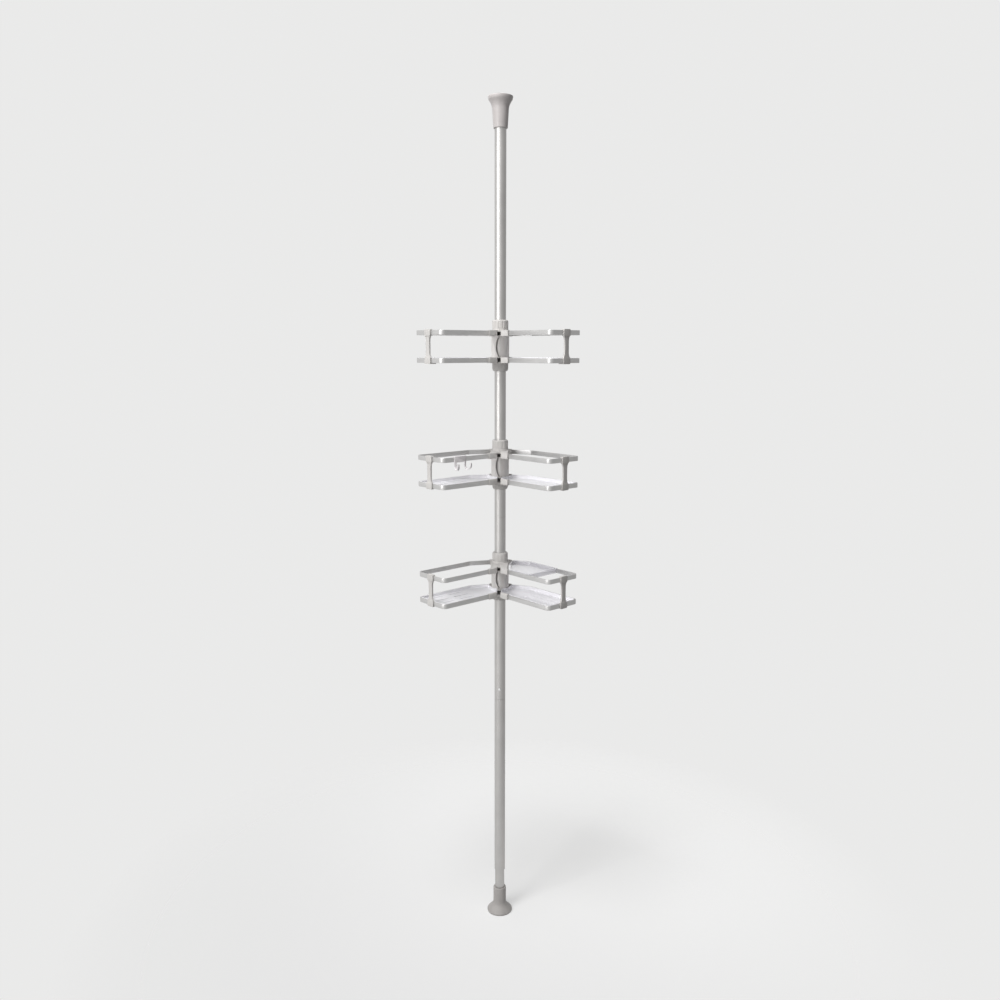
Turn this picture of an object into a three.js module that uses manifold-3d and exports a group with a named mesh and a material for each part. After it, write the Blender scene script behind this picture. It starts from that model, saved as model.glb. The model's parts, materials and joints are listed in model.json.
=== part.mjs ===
// A tension pole that is wedged between floor and ceiling, with three corner shelves round it.
// Lengths are in millimetres. +Z is up, the front is -Y, and the origin is on the pole's axis,
// where the foot stands on the floor. Each shelf has a right arm and a left arm, at 45 degrees
// to either side of the front. A shelf's own heights are counted from the middle of its lower ring.

import * as THREE from 'three';
import { mergeVertices } from 'three/addons/utils/BufferGeometryUtils.js';
import Module from 'manifold-3d';

const wasm = await Module();
wasm.setup();

// Fits and facets
const CLEARANCE = 0.3;
const OVERRUN = 2;
const ROUND_SIDES = 20;
const FINE_SIDES = 8;
const CORNER_STEPS = 3;
const CURVE_STEPS = 6;
const WELD = 0.0001;

// Pole
const POLE_RADIUS = 12.5;
const TUBE_WALL = 1.2;
const TUBE_LENGTH = 430;
const TUBE_NAMES = ['lower_tube', 'middle_tube', 'upper_tube', 'top_tube'];
const POLE_LOW_END = 107;
const JOINER_LENGTH = 90;
const JOINER_WALL = 1.6;

// Snap button in the lowest joiner, with its strip spring
const BUTTON_RADIUS = 3;
const BUTTON_PROUD = 2.2;
const BUTTON_DOME = 1.2;
const BUTTON_ABOVE_SEAM = 25;
const STRIP_WIDTH = 6;
const STRIP_THICKNESS = 0.8;
const STRIP_ABOVE_BUTTON = 8;
const STRIP_BELOW_BUTTON = 16;
const STRIP_BEND_RADIUS = 7.4;

// Plunger, its spring and the stop over the spring
const PLUNGER_WALL = 1.2;
const PLUNGER_TOP = 262;
const PLUG_LENGTH = 18;
const PLUG_FLANGE = 4;
const SPRING_RADIUS = 8.6;
const SPRING_WIRE_RADIUS = 0.9;
const SPRING_TURNS = 12;
const SPRING_STEPS_PER_TURN = 8;
const SPRING_SIDES = 5;
const STOP_BELOW_JOINER = 65;
const STOP_LENGTH = 12;

// Foot
const FOOT_HEIGHT = 61;
const FOOT_RADIUS = 29.5;
const FOOT_RIM = 4;
const FOOT_NECK_RADIUS = 15;
const FOOT_FLARE_HEIGHT = 27;
const FOOT_LIP = 2;
const FOOT_SOCKET_FLOOR = 14;
const FOOT_PAD_RADIUS = 13;
const FOOT_GROOVE_RADIUS = 22;
const FOOT_GROOVE_DEPTH = 1.5;

// Ceiling cap and the plug under it
const CAP_HEIGHT = 64;
const CAP_OVER_TUBE = 34;
const CAP_RADIUS = 26.5;
const CAP_TOP_RADIUS = 24.5;
const CAP_CHAMFER = 6.5;
const CAP_THROAT_RADIUS = 17.7;
const CAP_LIP_RADIUS = 15.4;
const CAP_FLARE_HEIGHT = 18;
const CAP_LIP = 1.5;
const CAP_PLUG_FLANGE = 3;
const CAP_PLUG_LENGTH = 22;

// Shelves: the low one's height, the bare pole between their collars, and the rings of flat band
const LOW_SHELF_HEIGHT = 799;
const LOWER_BARE_LENGTH = 144.6;
const UPPER_BARE_LENGTH = 150.6;
const RING_SPACING = 56.8;
const BAND_HEIGHT = 10;
const BAND_THICKNESS = 2.2;
const BAND_CORNER = 9;

// Plan of an arm. Along is counted outwards on the arm's own line, across towards the back.
const ARM_ANGLE = Math.PI / 4;
const ARM_REACH = 191.2;
const ARM_FRONT = 35.6;
const ARM_BACK = 52.5;
const BAND_START = 44;
const BACK_BEND = 45.4;
const BACK_END_X = 14;
const BACK_END_Y = 23.6;

// Hub halves: a shell round the pole with a window, and wings that hold the ends of the bands
const GRIP_WALL = 2.2;
const SHELL_WALL = 4.2;
const SPLIT = 0.3;
const WING_HALF_WIDTH = 18.5;
const WING_OVERHANG = 1;
const WING_SKIN = 3;
const WING_PLATE = 2.5;
const NOTCH_HALF_WIDTH = 4;
const SOCKET_COVER = 1.6;
const SOCKET_END = 66;
const EAR_END_X = 24.5;
const WINDOW_HALF_WIDTH = 8.7;
const WINDOW_HALF_HEIGHT = 20;
const POCKET_EDGE = 2.5;
const SEAT_HEIGHT = 5;

// Collars and the split grip inside them
const COLLAR_RADIUS = 17.5;
const COLLAR_HEIGHT = 18;
const COLLAR_SHOULDER = 4;
const COLLAR_TOP_LIP = 3;
const FLUTE_COUNT = 6;
const FLUTE_RADIUS = 1.8;
const FLUTE_DEPTH = 0.6;
const BASE_COLLAR_HEIGHT = 18;
const BASE_TAPER = 7;
const BASE_LIP = 2.5;
const GRIP_SLOT = 3;
const GRIP_TAPER = 8;
const GRIP_TAPER_DEPTH = 0.9;

// End brackets, shaped like a capital I over both bands
const BRACKET_NECK = 11;
const BRACKET_WIDTH = 19;
const BRACKET_FLARE_HEIGHT = 11;
const BRACKET_NECK_THICKNESS = 3.6;
const BRACKET_COVER = 2;
const TONGUE_LENGTH = 12;

// Trays
const TRAY_WALL = 1.6;
const TRAY_GAP = 0.5;
const TRAY_RIM = 0.3;
const TRAY_SOCKET_GAP = 2;
const TRAY_CORNER = 5;
const DRAIN_WIDTH = 3.4;
const DRAIN_LENGTH = 40;
const DRAIN_ROWS = 4;
const DRAIN_PITCH = 22;
const DRAIN_COLUMNS = 2;
const DRAIN_START = 100;
const DRAIN_SPACING = 54;

// Soap dish in the upper ring of the low shelf's right arm
const DISH_SOCKET_GAP = 7;
const DISH_END = 132;
const DISH_DEPTH = 11;
const DISH_WALL = 1.6;
const DISH_RIM = 1.2;
const DISH_INNER_X = 24;
const DISH_INNER_Y = -20;

// Double hook on the upper front band of the middle shelf's left arm
const HOOK_FROM_END = 45;
const HOOK_LENGTH = 31;
const HOOK_THICKNESS = 1.6;
const HOOK_SKIRT = 13;
const HOOK_INNER_SKIRT = 6;
const PRONG_WIDTH = 5;
const PRONG_DROP = 15;
const PRONG_REACH = 15;
const PRONG_RISE = 13;
const PRONG_SPLAY = Math.PI / 12;

// Sizes that follow from those above
const tubeBore = POLE_RADIUS - TUBE_WALL;
const joinerRadius = tubeBore - CLEARANCE;
const joinerBore = joinerRadius - JOINER_WALL;
const plungerRadius = tubeBore - CLEARANCE;
const plungerBore = plungerRadius - PLUNGER_WALL;
const poleTopEnd = POLE_LOW_END + TUBE_LENGTH * TUBE_NAMES.length;
const stopTop = POLE_LOW_END + TUBE_LENGTH - JOINER_LENGTH / 2 - STOP_BELOW_JOINER;
const stopHeight = stopTop - STOP_LENGTH;
const bandHalf = BAND_THICKNESS / 2;
const bandRise = BAND_HEIGHT / 2;
const socketHalf = bandHalf + SOCKET_COVER + CLEARANCE;
const wingRise = bandRise + WING_OVERHANG;
const gripBore = POLE_RADIUS + CLEARANCE;
const gripRadius = gripBore + GRIP_WALL;
const shellBore = gripRadius + CLEARANCE;
const shellRadius = shellBore + SHELL_WALL;
const hubTop = RING_SPACING + wingRise + SEAT_HEIGHT;
const wingFloor = -wingRise + WING_PLATE;
const collarBottom = hubTop + CLEARANCE;
const collarTop = collarBottom + COLLAR_HEIGHT;
const gripTop = collarTop - COLLAR_TOP_LIP - CLEARANCE;
const baseTop = -wingRise - CLEARANCE;
const baseBottom = baseTop - BASE_COLLAR_HEIGHT;
const trayFloor = wingFloor + CLEARANCE;
const trayTop = bandRise + TRAY_RIM;
const middleShelfHeight = LOW_SHELF_HEIGHT + collarTop + LOWER_BARE_LENGTH - baseBottom;
const topShelfHeight = middleShelfHeight + collarTop + UPPER_BARE_LENGTH - baseBottom;

const colours = {
  aluminium: new THREE.MeshStandardMaterial({ color: 0xc4c2c0, roughness: 0.34, metalness: 0.9 }),
  plastic: new THREE.MeshStandardMaterial({ color: 0xaca6a1, roughness: 0.5, metalness: 0 }),
  rubber: new THREE.MeshStandardMaterial({ color: 0xa29b97, roughness: 0.65, metalness: 0 }),
  inner: new THREE.MeshStandardMaterial({ color: 0x9c9a97, roughness: 0.55, metalness: 0 }),
  steel: new THREE.MeshStandardMaterial({ color: 0xb9babb, roughness: 0.3, metalness: 1 }),
  frosted: new THREE.MeshStandardMaterial({ color: 0xf0eff4, roughness: 0.45, metalness: 0 }),
};

const point = (x, y) => new THREE.Vector2(x, y);

// A place on the right arm's plan, from its distance along the arm and across it.
function onArm(along, across) {
  const turn = Math.sin(ARM_ANGLE);
  const rest = Math.cos(ARM_ANGLE);
  return point(along * rest + across * turn, across * rest - along * turn);
}

// Replaces each inner corner of a path, or each corner of a closed outline, by an arc.
function rounded(corners, radius, closed) {
  const count = corners.length;
  const path = [];
  corners.forEach((corner, i) => {
    if (!closed && (i === 0 || i === count - 1)) {
      path.push(corner.clone());
      return;
    }
    const back = corners[(i + count - 1) % count].clone().sub(corner);
    const ahead = corners[(i + 1) % count].clone().sub(corner);
    const half = Math.acos(back.clone().normalize().dot(ahead.clone().normalize())) / 2;
    const room = Math.min(back.length(), ahead.length()) / 2;
    const reach = Math.min(radius / Math.tan(half), room);
    const arcRadius = reach * Math.tan(half);
    const start = corner.clone().add(back.clone().setLength(reach));
    const end = corner.clone().add(ahead.clone().setLength(reach));
    const inwards = start.clone().add(end).divideScalar(2).sub(corner);
    const centre = corner.clone().add(inwards.setLength(arcRadius / Math.sin(half)));
    const first = start.clone().sub(centre);
    const sweep = Math.atan2(first.cross(end.clone().sub(centre)), first.dot(end.clone().sub(centre)));
    for (let step = 0; step <= CORNER_STEPS; step += 1) {
      const spoke = first.clone().rotateAround(point(0, 0), (sweep * step) / CORNER_STEPS);
      path.push(centre.clone().add(spoke));
    }
  });
  return path;
}

// Moves each point of a path sideways by a distance, to the left of the way that it runs.
function shifted(path, distance, closed) {
  const count = path.length;
  return path.map((spot, i) => {
    const before = closed || i > 0 ? path[(i + count - 1) % count] : null;
    const after = closed || i < count - 1 ? path[(i + 1) % count] : null;
    const ways = [before && spot.clone().sub(before), after && after.clone().sub(spot)]
      .filter(Boolean)
      .map((way) => way.normalize());
    const mean = ways.reduce((sum, way) => sum.add(way), point(0, 0)).normalize();
    const stretch = distance / mean.dot(ways[0]);
    return spot.clone().add(point(-mean.y, mean.x).multiplyScalar(stretch));
  });
}

// The outline of a strip of a given half width along a path.
function ribbon(path, half) {
  return [...shifted(path, half, false), ...shifted(path, -half, false).reverse()];
}

// The same path, longer at both ends.
function lengthened(path, by) {
  const [first, second] = path;
  const [last, other] = [path.at(-1), path.at(-2)];
  const start = first.clone().add(first.clone().sub(second).setLength(by));
  const end = last.clone().add(last.clone().sub(other).setLength(by));
  return [start, ...path.slice(1, -1), end];
}

function prism(outline, low, high) {
  const geometry = new THREE.ExtrudeGeometry(new THREE.Shape(outline), {
    depth: high - low,
    bevelEnabled: false,
  });
  return geometry.translate(0, 0, low);
}

function revolved(profile, sides = ROUND_SIDES) {
  return new THREE.LatheGeometry(profile, sides).rotateX(Math.PI / 2);
}

// A ring with a straight bore, between two heights.
function ring(inner, outer, low, high) {
  return revolved([
    point(inner, low),
    point(outer, low),
    point(outer, high),
    point(inner, high),
    point(inner, low),
  ]);
}

function disc(radius, low, high, sides = ROUND_SIDES) {
  return revolved([point(0, low), point(radius, low), point(radius, high), point(0, high)], sides);
}

function box(lowCorner, highCorner) {
  const size = highCorner.clone().sub(lowCorner);
  const middle = lowCorner.clone().add(highCorner).divideScalar(2);
  return new THREE.BoxGeometry(size.x, size.y, size.z).translate(middle.x, middle.y, middle.z);
}

// Welds a geometry's corners, drops empty triangles and makes its faces point outwards.
function closed(geometry) {
  const bare = geometry.clone();
  bare.deleteAttribute('normal');
  bare.deleteAttribute('uv');
  const welded = mergeVertices(bare, WELD);
  const { array } = welded.attributes.position;
  const triangles = [];
  for (let i = 0; i < welded.index.count; i += 3) {
    const [a, b, c] = [0, 1, 2].map((k) => welded.index.getX(i + k));
    if (a !== b && b !== c && c !== a) triangles.push([a, b, c]);
  }
  const corner = (i) => new THREE.Vector3().fromArray(array, 3 * i);
  const volume = triangles.reduce(
    (sum, [a, b, c]) => sum + corner(a).dot(corner(b).cross(corner(c))),
    0,
  );
  const outwards = volume > 0 ? triangles : triangles.map(([a, b, c]) => [a, c, b]);
  const result = new THREE.BufferGeometry();
  result.setAttribute('position', new THREE.BufferAttribute(array, 3));
  result.setIndex(outwards.flat());
  return result;
}

function solid(geometry) {
  const shape = closed(geometry);
  return new wasm.Manifold(
    new wasm.Mesh({
      numProp: 3,
      vertProperties: shape.attributes.position.array,
      triVerts: new Uint32Array(shape.index.array),
    }),
  );
}

function joined(...geometries) {
  return geometries.map(solid).reduce((sum, next) => sum.add(next));
}

// Turns a boolean result back into a geometry.
function surface(body) {
  const mesh = body.getMesh();
  const result = new THREE.BufferGeometry();
  result.setAttribute('position', new THREE.BufferAttribute(mesh.vertProperties, mesh.numProp));
  result.setIndex([...mesh.triVerts]);
  return result;
}

function cut(base, ...tools) {
  return surface(tools.map(solid).reduce((rest, tool) => rest.subtract(tool), base));
}

// The mirror image in the plane between the two arms.
function mirrored(geometry) {
  return closed(geometry.clone().scale(-1, 1, 1));
}

const unit = new THREE.Group();

function place(parent, name, geometry, material, height = 0) {
  const shape = closed(geometry).toNonIndexed();
  shape.computeVertexNormals();
  const mesh = new THREE.Mesh(shape, material.clone());
  mesh.name = name;
  mesh.position.z = height;
  parent.add(mesh);
}

// Both copies of a piece that an arm has, from the geometry of the right one.
function placePair(parent, name, geometry, material, height = 0) {
  place(parent, `${name}_right`, geometry, material, height);
  place(parent, `${name}_left`, mirrored(geometry), material, height);
}

// The pole: four tubes end to end, and a joiner inside at each seam.
const buttonHeight = POLE_LOW_END + TUBE_LENGTH + BUTTON_ABOVE_SEAM;
const buttonHole = disc(BUTTON_RADIUS + CLEARANCE, 0, POLE_RADIUS + OVERRUN, FINE_SIDES)
  .rotateX(Math.PI / 2)
  .translate(0, 0, buttonHeight);

TUBE_NAMES.forEach((name, i) => {
  const seam = POLE_LOW_END + i * TUBE_LENGTH;
  const low = i > 0 ? seam + CLEARANCE / 2 : seam;
  const high = i < TUBE_NAMES.length - 1 ? seam + TUBE_LENGTH - CLEARANCE / 2 : poleTopEnd;
  const tube = ring(tubeBore, POLE_RADIUS, low, high);
  place(unit, name, i === 1 ? cut(solid(tube), buttonHole) : tube, colours.aluminium);
});

['lower_joiner', 'middle_joiner', 'upper_joiner'].forEach((name, i) => {
  const seam = POLE_LOW_END + (i + 1) * TUBE_LENGTH;
  const joiner = ring(joinerBore, joinerRadius, seam - JOINER_LENGTH / 2, seam + JOINER_LENGTH / 2);
  place(unit, name, i === 0 ? cut(solid(joiner), buttonHole) : joiner, colours.inner);
});

// The snap button on the front leg of its strip, and the rest of the strip behind it.
const legDepth = joinerBore - BUTTON_RADIUS / 2;
const stripCentre = STRIP_BEND_RADIUS - legDepth;
const legBottom = -STRIP_BELOW_BUTTON;

function snapButton() {
  const domeBase = POLE_RADIUS + BUTTON_PROUD - BUTTON_DOME;
  const profile = [point(0, legDepth), point(BUTTON_RADIUS, legDepth)];
  for (let step = 0; step <= CURVE_STEPS; step += 2) {
    const angle = (Math.PI / 2) * (step / CURVE_STEPS);
    profile.push(point(BUTTON_RADIUS * Math.cos(angle), domeBase + BUTTON_DOME * Math.sin(angle)));
  }
  const head = revolved(profile, FINE_SIDES).rotateX(Math.PI / 2);
  const leg = box(
    new THREE.Vector3(-STRIP_WIDTH / 2, -legDepth - STRIP_THICKNESS / 2, legBottom),
    new THREE.Vector3(STRIP_WIDTH / 2, -legDepth + STRIP_THICKNESS / 2, STRIP_ABOVE_BUTTON),
  );
  return surface(joined(head, leg));
}

function stripSpring() {
  const path = [];
  const bendHeight = legBottom - CLEARANCE;
  for (let step = 0; step <= CURVE_STEPS; step += 1) {
    const angle = Math.PI * (1 + step / CURVE_STEPS);
    path.push(
      point(
        stripCentre + STRIP_BEND_RADIUS * Math.cos(angle),
        bendHeight + STRIP_BEND_RADIUS * Math.sin(angle),
      ),
    );
  }
  path.push(point(stripCentre + STRIP_BEND_RADIUS, STRIP_ABOVE_BUTTON));
  const strip = prism(ribbon(path, STRIP_THICKNESS / 2), -STRIP_WIDTH / 2, STRIP_WIDTH / 2);
  return strip.rotateX(Math.PI / 2).rotateZ(Math.PI / 2);
}

place(unit, 'snap_button', snapButton(), colours.steel, buttonHeight);
place(unit, 'snap_spring', stripSpring(), colours.steel, buttonHeight);

// The foot: a soft moulding with a neck that holds the plunger tube.
function footShape() {
  const flare = new THREE.CubicBezierCurve(
    point(FOOT_RADIUS, FOOT_RIM),
    point((FOOT_RADIUS + FOOT_NECK_RADIUS) / 2, FOOT_FLARE_HEIGHT / 2),
    point(FOOT_NECK_RADIUS, (FOOT_FLARE_HEIGHT + FOOT_RIM) / 2),
    point(FOOT_NECK_RADIUS, FOOT_FLARE_HEIGHT),
  );
  const socket = plungerRadius + CLEARANCE;
  return revolved([
    point(0, 0),
    point(FOOT_PAD_RADIUS, 0),
    point(FOOT_PAD_RADIUS, FOOT_GROOVE_DEPTH),
    point(FOOT_GROOVE_RADIUS, FOOT_GROOVE_DEPTH),
    point(FOOT_GROOVE_RADIUS, 0),
    point(FOOT_RADIUS, 0),
    ...flare.getPoints(CURVE_STEPS),
    point(FOOT_NECK_RADIUS, FOOT_HEIGHT - FOOT_LIP),
    point(FOOT_NECK_RADIUS - FOOT_LIP / 2, FOOT_HEIGHT),
    point(socket, FOOT_HEIGHT),
    point(socket, FOOT_SOCKET_FLOOR),
    point(0, FOOT_SOCKET_FLOOR),
  ]);
}

place(unit, 'foot', footShape(), colours.rubber);

const plungerLow = FOOT_SOCKET_FLOOR + CLEARANCE;
place(unit, 'plunger_tube', ring(plungerBore, plungerRadius, plungerLow, PLUNGER_TOP), colours.aluminium);

// A plug that sits in the end of a tube, with a flange over the tube's edge.
function endPlug(spigot, flange, tubeEnd, length, flangeThickness) {
  return revolved([
    point(0, tubeEnd - length),
    point(spigot, tubeEnd - length),
    point(spigot, tubeEnd + CLEARANCE),
    point(flange, tubeEnd + CLEARANCE),
    point(flange, tubeEnd + CLEARANCE + flangeThickness),
    point(0, tubeEnd + CLEARANCE + flangeThickness),
  ]);
}

place(
  unit,
  'plunger_plug',
  endPlug(plungerBore - CLEARANCE, plungerRadius, PLUNGER_TOP, PLUG_LENGTH, PLUG_FLANGE),
  colours.inner,
);
place(unit, 'spring_stop', disc(joinerRadius, stopHeight, stopTop), colours.inner);

// The compression spring's wire: a helix with one closed turn at each end.
class SpringLine extends THREE.Curve {
  constructor(low, high) {
    super();
    this.low = low;
    this.high = high;
  }

  getPoint(share, target = new THREE.Vector3()) {
    const closePitch = 2 * SPRING_WIRE_RADIUS + CLEARANCE;
    const openPitch = (this.high - this.low - 2 * closePitch) / (SPRING_TURNS - 2);
    const turn = share * SPRING_TURNS;
    const left = SPRING_TURNS - turn;
    const angle = 2 * Math.PI * turn;
    let height = this.low + closePitch + (turn - 1) * openPitch;
    if (turn < 1) height = this.low + turn * closePitch;
    if (left < 1) height = this.high - left * closePitch;
    return target.set(SPRING_RADIUS * Math.cos(angle), SPRING_RADIUS * Math.sin(angle), height);
  }
}

function compressionSpring() {
  const plugTop = PLUNGER_TOP + CLEARANCE + PLUG_FLANGE;
  const inset = CLEARANCE + SPRING_WIRE_RADIUS;
  const section = new THREE.Shape(
    Array.from({ length: SPRING_SIDES }, (_, i) => {
      const angle = (2 * Math.PI * i) / SPRING_SIDES;
      return point(SPRING_WIRE_RADIUS * Math.cos(angle), SPRING_WIRE_RADIUS * Math.sin(angle));
    }),
  );
  return new THREE.ExtrudeGeometry(section, {
    steps: SPRING_TURNS * SPRING_STEPS_PER_TURN,
    extrudePath: new SpringLine(plugTop + inset, stopHeight - inset),
  });
}

place(unit, 'compression_spring', compressionSpring(), colours.steel);

// The ceiling cap: a trumpet with a socket for the pole's end, and the plug that it presses on.
function capShape() {
  const top = poleTopEnd + CAP_OVER_TUBE;
  const bottom = top - CAP_HEIGHT;
  const rim = top - CAP_CHAMFER;
  const throat = rim - CAP_FLARE_HEIGHT;
  const socket = POLE_RADIUS + CLEARANCE;
  const socketTop = poleTopEnd + 2 * CLEARANCE + CAP_PLUG_FLANGE;
  const flare = new THREE.CubicBezierCurve(
    point(CAP_THROAT_RADIUS, throat),
    point(CAP_THROAT_RADIUS + CAP_LIP, (throat + rim) / 2),
    point((CAP_THROAT_RADIUS + CAP_RADIUS) / 2, rim - CAP_FLARE_HEIGHT / 3),
    point(CAP_RADIUS, rim),
  );
  return revolved([
    point(socket, bottom),
    point(CAP_LIP_RADIUS - CAP_LIP / 2, bottom),
    point(CAP_LIP_RADIUS, bottom + CAP_LIP),
    ...flare.getPoints(CURVE_STEPS),
    point(CAP_TOP_RADIUS, top),
    point(0, top),
    point(0, socketTop),
    point(socket, socketTop),
    point(socket, bottom),
  ]);
}

place(unit, 'ceiling_cap', capShape(), colours.rubber);
place(
  unit,
  'ceiling_plug',
  endPlug(joinerRadius, POLE_RADIUS, poleTopEnd, CAP_PLUG_LENGTH, CAP_PLUG_FLANGE),
  colours.inner,
);

// Plan of the right arm's band: from its back socket out round the arm to its front socket.
const bandCorners = [
  point(BACK_END_X, BACK_END_Y),
  onArm(BACK_BEND, ARM_BACK),
  onArm(ARM_REACH, ARM_BACK),
  onArm(ARM_REACH, -ARM_FRONT),
  onArm(BAND_START, -ARM_FRONT),
];
const bandPath = rounded(bandCorners, BAND_CORNER, false);
const band = prism(ribbon(bandPath, bandHalf), -bandRise, bandRise);
const bandRoom = prism(
  ribbon(lengthened(bandPath, CLEARANCE), bandHalf + CLEARANCE),
  -bandRise - CLEARANCE,
  bandRise + CLEARANCE,
);

// Stretches of the band's line that the hub's sockets cover.
const backWay = bandCorners[0].clone().sub(bandCorners[1]).normalize();
const earEnd = bandCorners[0].clone().addScaledVector(backWay, (BACK_END_X - EAR_END_X) / -backWay.x);
const earStart = bandCorners[0].clone().addScaledVector(backWay, SOCKET_COVER + CLEARANCE);
const frontSocketEnd = onArm(SOCKET_END, -ARM_FRONT);
const frontSocketStart = onArm(BAND_START - SOCKET_COVER - CLEARANCE, -ARM_FRONT);

// Plan of the wing between the sockets, from the notch in front to the split behind.
function wingPlan() {
  const onFrontLine = (x) => point(x, -x - ARM_FRONT / Math.sin(ARM_ANGLE));
  const onBackLine = (x) =>
    bandCorners[0].clone().addScaledVector(backWay, (x - BACK_END_X) / backWay.x);
  return [
    point(SPLIT / 2, -shellBore - SHELL_WALL / 2),
    point(NOTCH_HALF_WIDTH, -shellBore - SHELL_WALL / 2),
    onFrontLine(NOTCH_HALF_WIDTH),
    onFrontLine(WING_HALF_WIDTH),
    onBackLine(WING_HALF_WIDTH),
    onBackLine(SPLIT / 2),
  ];
}

function windowTool() {
  const rise = WINDOW_HALF_HEIGHT;
  const radius = (WINDOW_HALF_WIDTH ** 2 + rise ** 2) / (2 * WINDOW_HALF_WIDTH);
  const half = Math.asin(rise / radius);
  const outline = [];
  [1, -1].forEach((side) => {
    for (let step = 0; step < CURVE_STEPS; step += 1) {
      const angle = half * ((2 * step) / CURVE_STEPS - 1);
      const x = radius * Math.cos(angle) - (radius - WINDOW_HALF_WIDTH);
      outline.push(point(side * x, side * radius * Math.sin(angle)));
    }
  });
  const tool = prism(outline, 0, shellRadius + OVERRUN).rotateX(Math.PI / 2);
  return tool.translate(0, 0, RING_SPACING / 2);
}

// The right hub half.
function hubHalf() {
  const topLow = RING_SPACING - wingRise;
  const topHigh = RING_SPACING + wingRise;
  const plan = wingPlan();
  const backSocket = ribbon([earEnd, earStart], socketHalf);
  const frontSocket = ribbon([frontSocketStart, frontSocketEnd], socketHalf);
  const body = joined(
    ring(shellBore - OVERRUN, shellRadius, -wingRise, topHigh),
    ring(shellBore - OVERRUN, COLLAR_RADIUS, topHigh - OVERRUN, hubTop),
    prism(plan, topLow, topHigh),
    prism(plan, -wingRise, wingFloor),
    prism(backSocket, topLow, topHigh),
    prism(frontSocket, topLow, topHigh),
    prism(backSocket, -wingRise, wingRise),
    prism(frontSocket, -wingRise, wingRise),
  );
  const farSide = shellRadius + ARM_REACH;
  const pocketFront = NOTCH_HALF_WIDTH + POCKET_EDGE;
  const pocketSide = WING_HALF_WIDTH - POCKET_EDGE;
  const pocket = [
    point(pocketFront, -shellRadius - POCKET_EDGE),
    point(pocketSide, -shellRadius - POCKET_EDGE),
    point(pocketSide, -pocketSide - ARM_FRONT),
    point(pocketFront, -pocketFront - ARM_FRONT),
  ];
  return cut(
    body,
    disc(shellBore, -wingRise - OVERRUN, hubTop + OVERRUN),
    box(
      new THREE.Vector3(-farSide, -farSide, -wingRise - OVERRUN),
      new THREE.Vector3(SPLIT / 2, farSide, hubTop + OVERRUN),
    ),
    box(
      new THREE.Vector3(-farSide, -farSide, -wingRise - OVERRUN),
      new THREE.Vector3(NOTCH_HALF_WIDTH, -shellRadius - SPLIT, hubTop + OVERRUN),
    ),
    bandRoom,
    bandRoom.clone().translate(0, 0, RING_SPACING),
    windowTool(),
    prism(pocket, topLow - OVERRUN, topHigh - WING_SKIN),
  );
}

// The grip: a split sleeve that the collars squeeze on the pole.
function gripShape() {
  const sleeve = revolved([
    point(gripBore, baseBottom + BASE_LIP + CLEARANCE),
    point(gripRadius, baseBottom + BASE_LIP + CLEARANCE),
    point(gripRadius, gripTop - GRIP_TAPER),
    point(gripRadius - GRIP_TAPER_DEPTH, gripTop),
    point(gripBore, gripTop),
    point(gripBore, baseBottom + BASE_LIP + CLEARANCE),
  ]);
  const slot = box(
    new THREE.Vector3(-GRIP_SLOT / 2, 0, baseBottom),
    new THREE.Vector3(GRIP_SLOT / 2, gripRadius + OVERRUN, gripTop + OVERRUN),
  );
  return cut(solid(sleeve), slot);
}

// The locking collar: a ring nut with a rounded shoulder and grip flutes, hollow over the grip.
function lockCollar() {
  const shoulder = [];
  for (let step = 0; step <= CORNER_STEPS; step += 1) {
    const angle = (Math.PI / 2) * (step / CORNER_STEPS);
    shoulder.push(
      point(
        COLLAR_RADIUS - COLLAR_SHOULDER + COLLAR_SHOULDER * Math.cos(angle),
        collarTop - COLLAR_SHOULDER + COLLAR_SHOULDER * Math.sin(angle),
      ),
    );
  }
  const body = revolved([
    point(gripRadius + CLEARANCE, collarBottom),
    point(COLLAR_RADIUS, collarBottom),
    ...shoulder,
    point(gripBore, collarTop),
    point(gripBore, collarTop - COLLAR_TOP_LIP),
    point(gripRadius + CLEARANCE - GRIP_TAPER_DEPTH, collarTop - COLLAR_TOP_LIP),
    point(gripRadius + CLEARANCE, gripTop - GRIP_TAPER),
    point(gripRadius + CLEARANCE, collarBottom),
  ]);
  const reach = COLLAR_RADIUS + FLUTE_RADIUS - FLUTE_DEPTH;
  const flutes = Array.from({ length: FLUTE_COUNT }, (_, i) =>
    disc(FLUTE_RADIUS, collarBottom - OVERRUN, collarTop - COLLAR_SHOULDER, FINE_SIDES)
      .translate(reach, 0, 0)
      .rotateZ((2 * Math.PI * (i + 1 / 2)) / FLUTE_COUNT),
  );
  return cut(solid(body), ...flutes);
}

// The base collar: a cup under the hub, drawn in to the pole below.
function baseCollar() {
  return revolved([
    point(gripBore, baseBottom),
    point(gripRadius, baseBottom),
    point(COLLAR_RADIUS - BASE_LIP / 2, baseBottom + BASE_TAPER / 2),
    point(COLLAR_RADIUS, baseBottom + BASE_TAPER),
    point(COLLAR_RADIUS, baseTop),
    point(gripRadius + CLEARANCE, baseTop),
    point(gripRadius + CLEARANCE, baseBottom + BASE_LIP),
    point(gripBore, baseBottom + BASE_LIP),
    point(gripBore, baseBottom),
  ]);
}

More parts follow.
